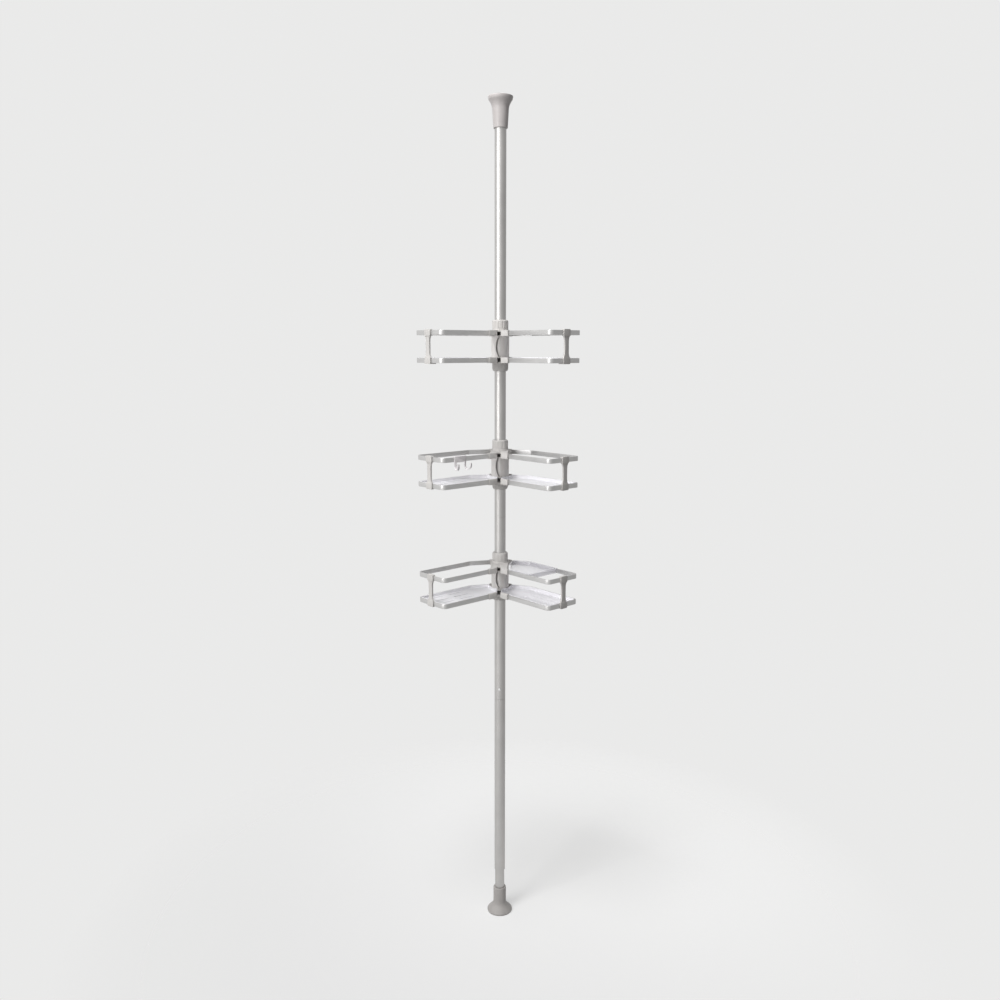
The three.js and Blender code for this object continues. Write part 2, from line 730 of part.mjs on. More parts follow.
// The end bracket: an I over both bands, with a tongue under the tray.
function endBracket() {
  const low = -bandRise - BRACKET_COVER;
  const high = RING_SPACING - low;
  const headHalf = bandHalf + CLEARANCE + BRACKET_COVER;
  const headTop = bandRise + BRACKET_COVER;
  const neckLow = headTop + BRACKET_FLARE_HEIGHT;
  const neckHigh = RING_SPACING - neckLow;
  const side = [];
  const sweepUp = new THREE.QuadraticBezierCurve(
    point(BRACKET_WIDTH / 2, headTop - BRACKET_COVER),
    point(BRACKET_NECK / 2, headTop + BRACKET_COVER),
    point(BRACKET_NECK / 2, neckLow),
  );
  side.push(...sweepUp.getPoints(CORNER_STEPS));
  side.push(...side.map((p) => point(p.x, RING_SPACING - p.y)).reverse());
  const neckPlan = [...side, ...side.map((p) => point(-p.x, p.y)).reverse()];
  const upright = (outline, half) =>
    prism(outline, -half, half).rotateX(Math.PI / 2).rotateZ(Math.PI / 2);
  const head = (from, to) => {
    const plate = rounded(
      [
        point(-BRACKET_WIDTH / 2, from),
        point(BRACKET_WIDTH / 2, from),
        point(BRACKET_WIDTH / 2, to),
        point(-BRACKET_WIDTH / 2, to),
      ],
      BRACKET_COVER,
      true,
    );
    return upright(plate, headHalf);
  };
  const tongue = box(
    new THREE.Vector3(-headHalf - TONGUE_LENGTH, -BRACKET_NECK / 2, low),
    new THREE.Vector3(0, BRACKET_NECK / 2, wingFloor),
  );
  const trayRoom = box(
    new THREE.Vector3(-headHalf - OVERRUN, -BRACKET_WIDTH, wingFloor),
    new THREE.Vector3(-bandHalf, BRACKET_WIDTH, headTop + CLEARANCE),
  );
  const neckOut = BRACKET_NECK_THICKNESS / 2 - bandHalf;
  const middle = onArm(ARM_REACH, (ARM_BACK - ARM_FRONT) / 2);
  const seated = (geometry) => geometry.rotateZ(-ARM_ANGLE).translate(middle.x, middle.y, 0);
  return cut(
    joined(
      seated(upright(neckPlan, BRACKET_NECK_THICKNESS / 2).translate(neckOut, 0, 0)),
      seated(head(low, headTop)),
      seated(head(RING_SPACING - headTop, high)),
      seated(tongue),
    ),
    seated(trayRoom),
    bandRoom,
    bandRoom.clone().translate(0, 0, RING_SPACING),
  );
}

// Plan of the tray: inside the ring, round the sockets and round the hub's shell.
function trayPlan() {
  const inside = bandHalf + TRAY_GAP;
  const front = inside - ARM_FRONT;
  const back = ARM_BACK - inside;
  const bySocket = socketHalf + TRAY_GAP - ARM_FRONT;
  const hubRoom = shellRadius + TRAY_GAP;
  const chamfer = shifted([bandCorners[0], bandCorners[1]], -inside, false);
  const chamferWay = chamfer[1].clone().sub(chamfer[0]).normalize();
  const backCorner = onArm(BACK_BEND + inside * Math.tan(ARM_ANGLE / 4), back);
  const earCorner = chamfer[0]
    .clone()
    .addScaledVector(chamferWay, (EAR_END_X + TRAY_SOCKET_GAP - chamfer[0].x) / chamferWay.x);
  const outer = rounded(
    [
      onArm(SOCKET_END + TRAY_SOCKET_GAP, front),
      onArm(ARM_REACH - inside, front),
      onArm(ARM_REACH - inside, back),
      backCorner,
      earCorner,
    ],
    BAND_CORNER - inside,
    false,
  );
  const hubArc = [];
  const first = 0;
  const innerX = NOTCH_HALF_WIDTH + TRAY_GAP;
  const last = Math.asin(innerX / hubRoom) - Math.PI / 2;
  for (let step = 0; step <= CURVE_STEPS; step += 1) {
    const angle = first + ((last - first) * step) / CURVE_STEPS;
    hubArc.push(point(hubRoom * Math.cos(angle), hubRoom * Math.sin(angle)));
  }
  const tip = point(innerX, bySocket / Math.sin(ARM_ANGLE) - innerX);
  return [...outer, ...hubArc, tip, onArm(SOCKET_END + TRAY_SOCKET_GAP, bySocket)];
}

// A slot with round ends, lying along the arm.
function drainSlot(along, across) {
  const half = DRAIN_LENGTH / 2;
  const outline = [];
  [1, -1].forEach((side) => {
    for (let step = 0; step <= 2; step += 1) {
      const angle = (Math.PI / 2) * (step - 1);
      outline.push(
        onArm(
          along + side * (half + (DRAIN_WIDTH / 2) * (Math.cos(angle) - 1)),
          across + side * (DRAIN_WIDTH / 2) * Math.sin(angle),
        ),
      );
    }
  });
  return prism(outline, trayFloor - OVERRUN, trayFloor + TRAY_WALL + OVERRUN);
}

function trayShape() {
  const plan = trayPlan();
  const hollow = shifted(plan, TRAY_WALL, true);
  const slots = [];
  const middle = (ARM_BACK - ARM_FRONT) / 2;
  for (let row = 0; row < DRAIN_ROWS; row += 1) {
    const across = middle + (row - (DRAIN_ROWS - 1) / 2) * DRAIN_PITCH;
    for (let i = 0; i < DRAIN_COLUMNS; i += 1) {
      slots.push(drainSlot(DRAIN_START + i * DRAIN_SPACING, across));
    }
  }
  return cut(
    solid(prism(plan, trayFloor, trayTop)),
    prism(hollow, trayFloor + TRAY_WALL, trayTop + OVERRUN),
    ...slots,
  );
}

// The soap dish: a shallow pan hung in the upper ring by a rim over the band.
function dishShape() {
  const inside = bandHalf + TRAY_GAP;
  const dishEarX = EAR_END_X + DISH_SOCKET_GAP;
  const chamfer = shifted([bandCorners[0], bandCorners[1]], -inside, false);
  const chamferWay = chamfer[1].clone().sub(chamfer[0]).normalize();
  const plan = rounded(
    [
      onArm(SOCKET_END + DISH_SOCKET_GAP, inside - ARM_FRONT),
      onArm(DISH_END, inside - ARM_FRONT),
      onArm(DISH_END, ARM_BACK - inside),
      onArm(BACK_BEND + inside * Math.tan(ARM_ANGLE / 4), ARM_BACK - inside),
      chamfer[0].clone().addScaledVector(chamferWay, (dishEarX - chamfer[0].x) / chamferWay.x),
      point(DISH_INNER_X, DISH_INNER_Y),
    ],
    TRAY_CORNER,
    true,
  );
  const rimLow = bandRise + CLEARANCE;
  const top = rimLow + DISH_RIM;
  const rim = shifted(plan, -inside - bandHalf, true);
  return cut(
    joined(prism(plan, top - DISH_DEPTH, top), prism(rim, rimLow, top)),
    prism(shifted(plan, DISH_WALL, true), top - DISH_DEPTH + DISH_WALL, top + OVERRUN),
  );
}

// The double hook: a saddle over the band and two prongs that curl up in front.
function hookShape() {
  const insideHalf = bandHalf + CLEARANCE;
  const outsideHalf = insideHalf + HOOK_THICKNESS;
  const bandTop = bandRise + CLEARANCE;
  const saddleTop = bandTop + HOOK_THICKNESS;
  const saddle = [
    point(-insideHalf, saddleTop - HOOK_INNER_SKIRT),
    point(-insideHalf, bandTop),
    point(insideHalf, bandTop),
    point(insideHalf, saddleTop - HOOK_SKIRT),
    point(outsideHalf, saddleTop - HOOK_SKIRT),
    point(outsideHalf, saddleTop),
    point(-outsideHalf, saddleTop),
    point(-outsideHalf, saddleTop - HOOK_INNER_SKIRT),
  ];
  const middle = insideHalf + HOOK_THICKNESS / 2;
  const low = saddleTop - HOOK_SKIRT - PRONG_DROP + PRONG_REACH / 2;
  const path = [point(middle, saddleTop - HOOK_SKIRT + CLEARANCE)];
  for (let step = 0; step <= CURVE_STEPS; step += 1) {
    const angle = Math.PI * (1 + step / CURVE_STEPS);
    const radius = PRONG_REACH / 2;
    path.push(point(middle + radius + radius * Math.cos(angle), low + radius * Math.sin(angle)));
  }
  path.push(point(middle + PRONG_REACH, low + PRONG_RISE - PRONG_REACH / 2));
  const prong = (side) =>
    prism(ribbon(path, HOOK_THICKNESS / 2), -PRONG_WIDTH / 2, PRONG_WIDTH / 2)
      .translate(-middle, 0, 0)
      .rotateY(-side * PRONG_SPLAY)
      .translate(middle, 0, (side * (HOOK_LENGTH - PRONG_WIDTH)) / 2);
  const body = surface(
    joined(prism(saddle, -HOOK_LENGTH / 2, HOOK_LENGTH / 2), prong(-1), prong(1)),
  );
  const seat = onArm(ARM_REACH - HOOK_FROM_END, -ARM_FRONT);
  return body
    .rotateX(Math.PI / 2)
    .rotateZ(-Math.PI / 2 - ARM_ANGLE)
    .translate(seat.x, seat.y, RING_SPACING);
}

// The three shelves.
const hub = hubHalf();
const grip = gripShape();
const lock = lockCollar();
const base = baseCollar();
const bracket = endBracket();
const tray = trayShape();

const shelfHeights = {
  top_shelf: topShelfHeight,
  middle_shelf: middleShelfHeight,
  low_shelf: LOW_SHELF_HEIGHT,
};

Object.entries(shelfHeights).forEach(([name, height]) => {
  const shelf = new THREE.Group();
  shelf.position.z = height;
  place(shelf, `${name}_grip`, grip, colours.inner);
  place(shelf, `${name}_lock_collar`, lock, colours.plastic);
  place(shelf, `${name}_base_collar`, base, colours.plastic);
  placePair(shelf, `${name}_hub`, hub, colours.plastic);
  placePair(shelf, `${name}_lower_band`, band, colours.aluminium);
  placePair(shelf, `${name}_upper_band`, band, colours.aluminium, RING_SPACING);
  placePair(shelf, `${name}_bracket`, bracket, colours.plastic);
  placePair(shelf, `${name}_tray`, tray, colours.frosted);
  unit.add(shelf);
});

place(unit, 'soap_dish', dishShape(), colours.frosted, LOW_SHELF_HEIGHT + RING_SPACING);
place(unit, 'double_hook', mirrored(hookShape()), colours.frosted, middleShelfHeight);

export default unit;
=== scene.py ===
import json
import math

import bpy
from bpy.props import FloatProperty, FloatVectorProperty, PointerProperty
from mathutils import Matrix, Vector


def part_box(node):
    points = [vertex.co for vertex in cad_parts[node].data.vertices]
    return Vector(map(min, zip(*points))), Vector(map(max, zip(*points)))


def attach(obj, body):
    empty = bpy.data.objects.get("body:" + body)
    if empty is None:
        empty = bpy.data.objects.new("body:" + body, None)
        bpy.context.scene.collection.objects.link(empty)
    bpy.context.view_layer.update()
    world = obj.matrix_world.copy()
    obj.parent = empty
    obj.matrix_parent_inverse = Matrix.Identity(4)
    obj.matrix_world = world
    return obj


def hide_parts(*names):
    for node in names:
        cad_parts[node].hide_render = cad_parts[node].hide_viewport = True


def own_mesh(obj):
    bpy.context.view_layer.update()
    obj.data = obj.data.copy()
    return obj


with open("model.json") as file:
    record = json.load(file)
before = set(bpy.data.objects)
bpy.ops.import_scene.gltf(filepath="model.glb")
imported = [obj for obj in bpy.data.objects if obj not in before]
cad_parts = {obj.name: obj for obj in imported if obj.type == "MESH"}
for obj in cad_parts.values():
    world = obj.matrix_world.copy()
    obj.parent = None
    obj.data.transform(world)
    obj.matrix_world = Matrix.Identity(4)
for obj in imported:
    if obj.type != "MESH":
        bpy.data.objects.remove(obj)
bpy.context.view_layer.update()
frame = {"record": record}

bl_info = {
    "name": "Tension pole shelf unit",
    "version": (1, 0, 0),
    "blender": (4, 5, 0),
    "location": "3D View > Sidebar > Shelf unit",
    "description": "A spring tension pole with three two-armed corner shelves",
    "category": "Object",
}

# Lengths are in millimetres up to the point where a piece is made. A shelf's own heights are
# counted from the middle of its lower ring, and its plans are those of the right side.
MM = 0.001
SHELVES = ("top_shelf", "middle_shelf", "low_shelf")
SIDES = ("right", "left")
RECORD = frame["record"]
BODY_OF = {node: body for body, nodes in RECORD["behaviour"]["bodies"].items() for node in nodes}

# All pieces
ROUND = 96
SMALL_ROUND = 48
CORNER_STEPS = 10
GAP = 0.3
OVER = 2
FAR = 120
LIP = 0.3
SAME_SPOT = 0.002
SLIVER = 0.004

# Pole
POLE_RADIUS = 12.5
POLE_HOLE = 12.8
PLUNGER_RADIUS = 11
TUBE_WALL = 1.2
TUBE_LIP = 0.25
BUTTON_RADIUS = 3
BUTTON_HOLE = 3.3
BUTTON_DROP = 8
SPRING_RADIUS = 8.6
SPRING_WIRE = 0.9
SPRING_TURNS = 12

# Rings of an arm
RING_SPACING = 56.8
ARM_ANGLE = math.radians(45)
ARM_REACH = 191.2
ARM_FRONT = 35.6
ARM_BACK = 52.5
ARM_MIDDLE = (ARM_BACK - ARM_FRONT) / 2
BAND_START = 44
BAND_CORNER = 9
BAND_HALF = 1.1
BAND_RISE = 5
BACK_BEND = 45.4
BACK_END = Vector((14, 23.6))
TRAY_PLAY = 0.5
TRAY_INSET = BAND_HALF + TRAY_PLAY
PAN_WALL = 1.6

# Hub and collars
SPLIT_HALF = 0.15
SOCKET_HALF = 3
SOCKET_END = 66
SOCKET_COVER = 1.9
EAR_END_X = 24.5
WING_RISE = 6
WING_HALF_WIDTH = 18.5
WING_FLOOR = 2.5
WING_ROOF = 3
NOTCH_HALF_WIDTH = 4
SKIN = 1.2
GRIP_RADIUS = 15
SHELL_BORE = 15.3
SHELL_RADIUS = 19.5
WINDOW_RISE = 22.6
WINDOW_EDGE = (8.9, 2.2)
SEAT_TOP = 67.8
COLLAR_RADIUS = 17.5
COLLAR_HEIGHT = 18

# Camera and lights, in metres and degrees
CAMERA_TURN = 3
CAMERA_DISTANCE = 2.039
CAMERA_ASIDE = -0.0006
CAMERA_HEIGHT = 1.3385
CAMERA_TILT = 80.68
CAMERA_ROLL = -0.06
CAMERA_LENS = 33.12
KEY_LIGHT = {"at": (-1.62, -1.88, 1.75), "towards": (0, 0, 1.05), "size": (1.1, 2.3)}
TOP_LIGHT = {"at": (-0.55, -1.12, 3.75), "towards": (0, 0, 0.7), "size": (1.05, 1.05)}
BRIGHTEST_SIDE = 1.12
FLOOR_RADIUS = 1.6
FLOOR_FADES_FROM = 0.45
FROM_LIGHTS = (0.58, 0.81)
GLOW_RISE = 0.6
REFLECTED_FALLOFF = 1.4


# Plans

def on_arm(along, across):
    """A place on the right arm's plan, from its distances along the arm and across it."""
    turn, rest = math.sin(ARM_ANGLE), math.cos(ARM_ANGLE)
    return Vector((along * rest + across * turn, across * rest - along * turn))


def rounded(corners, radius, closed=False, steps=CORNER_STEPS):
    """The same path with an arc in place of each corner."""
    path = []
    for i, corner in enumerate(corners):
        if not closed and i in (0, len(corners) - 1):
            path.append(corner.copy())
            continue
        back = corners[i - 1] - corner
        ahead = corners[(i + 1) % len(corners)] - corner
        half = back.angle(ahead) / 2
        reach = min(radius / math.tan(half), back.length / 2, ahead.length / 2)
        start = corner + back.normalized() * reach
        end = corner + ahead.normalized() * reach
        inwards = ((start + end) / 2 - corner).normalized()
        centre = corner + inwards * (reach / math.cos(half))
        first = start - centre
        sweep = -first.angle_signed(end - centre)
        for step in range(steps + 1):
            angle = sweep * step / steps
            path.append(centre + turned_by(first, angle))
    return path


def turned_by(vector, angle):
    """A flat vector turned anticlockwise."""
    turn, rest = math.sin(angle), math.cos(angle)
    return Vector((vector.x * rest - vector.y * turn, vector.x * turn + vector.y * rest))


def shifted(path, distance, closed=False):
    """Each point moved sideways, to the left of the way that the path runs."""
    moved = []
    for i, spot in enumerate(path):
        ways = []
        if closed or i > 0:
            ways.append((spot - path[i - 1]).normalized())
        if closed or i < len(path) - 1:
            ways.append((path[(i + 1) % len(path)] - spot).normalized())
        mean = sum(ways, Vector((0, 0))).normalized()
        moved.append(spot + Vector((-mean.y, mean.x)) * (distance / mean.dot(ways[0])))
    return moved


def ribbon(path, half):
    """The outline of a strip along a path."""
    return shifted(path, half) + shifted(path, -half)[::-1]


def lengthened(path, by):
    """The same path, longer at both ends."""
    start = path[0] + (path[0] - path[1]).normalized() * by
    end = path[-1] + (path[-1] - path[-2]).normalized() * by
    return [start, *path[1:-1], end]


def arc(centre, radius, first, last, steps):
    """Points on an arc between two angles in degrees."""
    spots = []
    for step in range(steps + 1):
        angle = math.radians(first + (last - first) * step / steps)
        x = centre[0] + radius * math.cos(angle)
        y = centre[1] + radius * math.sin(angle)
        spots.append(Vector((x, y)))
    return spots


def places(spots):
    """Plain number pairs as places on a plan."""
    return [Vector(spot) for spot in spots]


BAND_CORNERS = [
    BACK_END,
    on_arm(BACK_BEND, ARM_BACK),
    on_arm(ARM_REACH, ARM_BACK),
    on_arm(ARM_REACH, -ARM_FRONT),
    on_arm(BAND_START, -ARM_FRONT),
]
BACK_WAY = (BACK_END - BAND_CORNERS[1]).normalized()


def on_back_line(x, inside=0):
    """The place on the back stretch of the band at a distance right of the pole."""
    start = BACK_END + Vector((-BACK_WAY.y, BACK_WAY.x)) * inside
    return start + BACK_WAY * ((x - start.x) / BACK_WAY.x)


def inner_bend():
    """The corner of a tray where the band behind it bends."""
    return on_arm(BACK_BEND + TRAY_INSET * math.tan(ARM_ANGLE / 4), ARM_BACK - TRAY_INSET)


# Modelling

def only(obj):
    """Selects one object and makes it the active one."""
    bpy.ops.object.select_all(action="DESELECT")
    obj.select_set(True)
    bpy.context.view_layer.objects.active = obj


def begin(add, **values):
    """Adds a primitive by itself, applies its place, and opens it for editing."""
    bpy.ops.object.select_all(action="DESELECT")
    add(**values)
    bpy.ops.object.transform_apply(location=True, rotation=True, scale=True)
    bpy.ops.object.mode_set(mode="EDIT")
    return bpy.context.object


def close_up():
    """Merges doubles, fills what is open and turns the faces outwards, then leaves edit mode."""
    bpy.ops.mesh.select_all(action="SELECT")
    bpy.ops.mesh.remove_doubles(threshold=SAME_SPOT * MM)
    bpy.ops.mesh.select_all(action="DESELECT")
    bpy.ops.mesh.select_non_manifold(extend=False)
    if selected_now():
        bpy.ops.mesh.edge_face_add()
    bpy.ops.mesh.select_all(action="SELECT")
    bpy.ops.mesh.normals_make_consistent(inside=False)
    bpy.ops.object.mode_set(mode="OBJECT")


def selected_now():
    """Whether any vertex of the mesh in edit mode is selected."""
    bpy.context.object.update_from_editmode()
    return bpy.context.object.data.total_vert_sel > 0


def lathe(profile, sides=ROUND):
    """Turns a profile of (radius, height) points round the pole's axis, by extruding a circle."""
    (radius, height), *rest = profile
    obj = begin(
        bpy.ops.mesh.primitive_circle_add,
        vertices=sides,
        radius=radius * MM,
        fill_type="NOTHING",
        location=(0, 0, height * MM),
    )
    for next_radius, next_height in rest:
        rise = (0, 0, (next_height - height) * MM)
        bpy.ops.mesh.extrude_edges_move(TRANSFORM_OT_translate={"value": rise})
        scale = next_radius / radius
        centre = (0, 0, next_height * MM)
        bpy.ops.transform.resize(value=(scale, scale, 1), center_override=centre)
        radius, height = next_radius, next_height
    close_up()
    return obj


def plate(outline, low, high):
    """Traces an outline point by point, fills it and extrudes it from one height to another."""
    first = outline[0]
    obj = begin(
        bpy.ops.mesh.primitive_plane_add,
        size=MM,
        location=(first.x * MM, first.y * MM, low * MM),
    )
    bpy.ops.mesh.merge(type="CENTER")
    here = first
    for spot in [*outline[1:], first]:
        step = ((spot.x - here.x) * MM, (spot.y - here.y) * MM, 0)
        bpy.ops.mesh.extrude_vertices_move(TRANSFORM_OT_translate={"value": step})
        here = spot
    bpy.ops.mesh.select_all(action="SELECT")
    bpy.ops.mesh.remove_doubles(threshold=SAME_SPOT * MM)
    bpy.ops.mesh.edge_face_add()
    rise = (0, 0, (high - low) * MM)
    bpy.ops.mesh.extrude_region_move(TRANSFORM_OT_translate={"value": rise})
    close_up()
    return obj


def block(low, high):
    """A plain box between two corners, to cut or join with."""
    (left, front, bottom), (right, back, top) = low, high
    plan = places([(left, front), (right, front), (right, back), (left, back)])
    return plate(plan, bottom, top)


def bowed(middle, end, rise):
    """Points up an arc, from its distances from the axis in the middle and at its ends."""
    sag = middle - end
    radius = (rise ** 2 + sag ** 2) / (2 * sag)
    reach = math.degrees(math.asin(rise / radius))
    return arc((middle - radius, 0), radius, -reach, reach, 20)


def upright_lens(left, right, rise):
    """A plate in front of a hub, between two arcs given by their distances from the axis."""
    outline = bowed(*right, rise) + across(bowed(*left, rise))
    return set_at(plate(outline, 0, SHELL_RADIUS + OVER), (90, 0, 0), (0, 0, RING_SPACING / 2))


def across(path):
    """A path mirrored left to right, and run backwards."""
    return [Vector((-spot.x, spot.y)) for spot in reversed(path)]


def set_at(obj, turn=(0, 0, 0), at=(0, 0, 0)):
    """Turns a piece, in degrees, moves it, in millimetres, and applies both to its mesh."""
    obj.rotation_euler = [math.radians(angle) for angle in turn]
    obj.location = Vector(at) * MM
    only(obj)
    bpy.ops.object.transform_apply(location=True, rotation=True, scale=True)
    return obj


def combine(obj, tool, operation):
    """Cuts one piece with another, or joins them, and removes the other."""
    only(obj)
    modifier = obj.modifiers.new("Boolean", "BOOLEAN")
    modifier.operation = operation
    modifier.solver = "EXACT"
    modifier.object = tool
    bpy.ops.object.modifier_apply(modifier=modifier.name)
    bpy.data.objects.remove(tool)
    return obj


def cut(obj, *tools):
    """Cuts a piece with each tool in turn."""
    for tool in tools:
        combine(obj, tool, "DIFFERENCE")
    return obj


def join(obj, *others):
    """Joins the other pieces to a piece."""
    for other in others:
        combine(obj, other, "UNION")
    return obj


def soften(obj, width, segments=3, angle=32):
    """Merges slivers left by cuts, rounds edges sharper than the angle and smooths the rest."""
    only(obj)
    bpy.ops.object.mode_set(mode="EDIT")
    bpy.ops.mesh.select_all(action="SELECT")
    bpy.ops.mesh.remove_doubles(threshold=SLIVER * MM)
    bpy.ops.mesh.dissolve_degenerate(threshold=SLIVER * MM)
    bpy.ops.object.mode_set(mode="OBJECT")
    if width > 0:
        modifier = obj.modifiers.new("Bevel", "BEVEL")
        modifier.width = width * MM
        modifier.segments = segments
        modifier.limit_method = "ANGLE"
        modifier.angle_limit = math.radians(angle)
        modifier.miter_outer = "MITER_ARC"
        modifier.use_clamp_overlap = True
        bpy.ops.object.modifier_apply(modifier=modifier.name)
    bpy.ops.object.shade_smooth_by_angle(angle=math.radians(angle))
    return obj


def hollow(obj, top, wall, depth):
    """Insets the faces at the top of a piece and pushes them down."""
    only(obj)
    bpy.ops.object.mode_set(mode="EDIT")
    bpy.ops.mesh.select_mode(type="FACE")
    bpy.ops.mesh.select_all(action="DESELECT")
    bpy.ops.object.mode_set(mode="OBJECT")
    for face in obj.data.polygons:
        face.select = face.normal.z > 0.9 and abs(face.center.z - top * MM) < GAP * MM
    bpy.ops.object.mode_set(mode="EDIT")
    bpy.ops.mesh.inset(thickness=wall * MM, use_even_offset=True)
    bpy.ops.mesh.extrude_region_move(TRANSFORM_OT_translate={"value": (0, 0, -depth * MM)})
    bpy.ops.mesh.select_all(action="DESELECT")
    bpy.ops.mesh.select_mode(type="VERT")
    bpy.ops.object.mode_set(mode="OBJECT")
    return obj


def copy_of(obj, rise=0, mirrored=False):
    """A copy with its own mesh, moved up, and mirrored between the arms if asked."""
    only(obj)
    bpy.ops.object.duplicate(linked=False)
    made = bpy.context.object
    made.location = (0, 0, rise * MM)
    if mirrored:
        made.scale = (-1, 1, 1)
    bpy.ops.object.transform_apply(location=True, rotation=True, scale=True)
    if mirrored and signed_volume(made.data) < 0:
        bpy.ops.object.mode_set(mode="EDIT")
        bpy.ops.mesh.select_all(action="SELECT")
        bpy.ops.mesh.flip_normals()
        bpy.ops.object.mode_set(mode="OBJECT")
    return made


def signed_volume(mesh):
    """The volume inside a mesh, below zero if its faces point inwards."""
    total = 0
    for face in mesh.polygons:
        spots = [mesh.vertices[i].co for i in face.vertices]
        for second, third in zip(spots[1:], spots[2:]):
            total += spots[0].dot(second.cross(third)) / 6
    return total


def stand_for(obj, node, material):
    """Gives a finished piece its name, finish and body, and shows it in place of its node."""
    obj.name = node + "_form"
    obj.data.name = obj.name
    obj.data.materials.clear()
    obj.data.materials.append(material)
    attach(obj, BODY_OF[node])
    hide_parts(node)
    return obj


def copies_for(obj, nodes, material):
    """Puts a copy of a model in place of each node, by {node: (rise, mirrored)}, and removes it."""
    for node, (rise, mirrored) in nodes.items():
        stand_for(copy_of(obj, rise, mirrored), node, material)
    bpy.data.objects.remove(obj)


def on_each_shelf(*nodes):
    """Where copies of a model go, from the (name, rise, mirrored) of each on one shelf."""
    return {
        f"{shelf}_{name}": (ring_height(shelf) + rise, mirrored)
        for shelf in SHELVES
        for name, rise, mirrored in nodes
    }


def on_each_arm(name, rise=0):
    """The same for a piece that each arm of a shelf has."""
    return [(f"{name}_{side}", rise, side == "left") for side in SIDES]


def ring_height(shelf):
    """The height of a shelf's lower ring, in millimetres."""
    low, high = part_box(shelf + "_lower_band_right")
    return (low.z + high.z) / 2 / MM


# Finishes

class Link:
    """A link in a node tree. Sums of links and numbers add their Math nodes."""

    def __init__(self, tree, socket=None):
        self.tree = tree
        self.socket = socket

    def node(self, kind, inputs, output=0, **settings):
        """Adds a node: its settings first, then the values or links of its sockets."""
        made = self.tree.nodes.new(kind)
        for name, value in settings.items():
            setattr(made, name, value)
        for name, value in inputs.items():
            if isinstance(value, Link):
                self.tree.links.new(value.socket, made.inputs[name])
            else:
                made.inputs[name].default_value = value
        return Link(self.tree, made.outputs[output] if made.outputs else None)

    def maths(self, operation, first, second):
        return self.node("ShaderNodeMath", {0: first, 1: second}, operation=operation)

    def __add__(self, other):
        return self.maths("ADD", self, other)

    def __radd__(self, other):
        return self.maths("ADD", other, self)

    def __sub__(self, other):
        return self.maths("SUBTRACT", self, other)

    def __rsub__(self, other):
        return self.maths("SUBTRACT", other, self)

    def __mul__(self, other):
        return self.maths("MULTIPLY", self, other)

    def __rmul__(self, other):
        return self.maths("MULTIPLY", other, self)

    def clamped(self, low=0.0, high=1.0):
        """The link's value moved from low..high to 0..1, and held there."""
        inputs = {"Value": self, "From Min": low, "From Max": high}
        return self.node("ShaderNodeMapRange", inputs, clamp=True)

    def mix(self, first, second):
        """A colour between two others, by this link's value."""
        inputs = {"Factor": self, "A": first, "B": second}
        return self.node("ShaderNodeMix", {}, 2, data_type="RGBA").fill(inputs)

    def fill(self, inputs):
        """Sets the colour sockets of the Mix node that this link leaves."""
        made = self.socket.node
        for name, value in inputs.items():
            socket = next(s for s in made.inputs if s.name == name and s.enabled)
            if isinstance(value, Link):
                self.tree.links.new(value.socket, socket)
            else:
                socket.default_value = (*value[:3], 1)
        return self

    def noise(self, scale, detail=2.0, stretch=(1, 1, 1)):
        """Smooth noise of so many spots to the metre, drawn out along the axes."""
        place = self.node("ShaderNodeTexCoord", {}, "Object")
        place = self.node("ShaderNodeMapping", {"Vector": place, "Scale": stretch})
        inputs = {"Vector": place, "Scale": scale, "Detail": detail}
        return self.node("ShaderNodeTexNoise", inputs)

    def bump(self, height, strength, depth):
        """A normal from a height map, its depth in millimetres."""
        inputs = {"Height": height, "Strength": strength, "Distance": depth * MM}
        return self.node("ShaderNodeBump", inputs)


def emptied(tree):
    """A node tree without its nodes, as the start of links."""
    tree.nodes.clear()
    return Link(tree)


def spoken(values):
    """Values by the names of their sockets, which have spaces."""
    return {name.replace("_", " "): value for name, value in values.items()}


def finish(name, **fixed):
    """A new material: the start of its links, and a function that feeds its surface."""
    material = bpy.data.materials.new(name)
    material.use_nodes = True
    start = emptied(material.node_tree)
    shader = start.node("ShaderNodeBsdfPrincipled", spoken(fixed), "BSDF")
    start.node("ShaderNodeOutputMaterial", {"Surface": shader})

    def feed(**varied):
        for name, link in spoken(varied).items():
            start.tree.links.new(link.socket, shader.socket.node.inputs[name])
        return material

    return start, feed


def tinted(colour, by):
    """A colour made lighter or darker by a factor."""
    return tuple(min(1.0, channel * by) for channel in colour[:3])


def satin_metal(name, colour, roughness, stretch):
    """Satin anodised metal, with drawn lines along the piece and faint handling marks."""
    start, feed = finish(name, Metallic=1.0)
    lines = start.noise(60, 3, stretch)
    marks = start.noise(26, 4)
    cloud = marks.clamped(0.35, 0.75)
    return feed(
        Base_Color=(lines * 0.6 + cloud * 0.4).mix(tinted(colour, 0.9), tinted(colour, 1.1)),
        Roughness=roughness - 0.06 + lines * 0.08 + cloud * 0.05,
        Normal=start.bump(lines, 0.12, 0.03),
    )


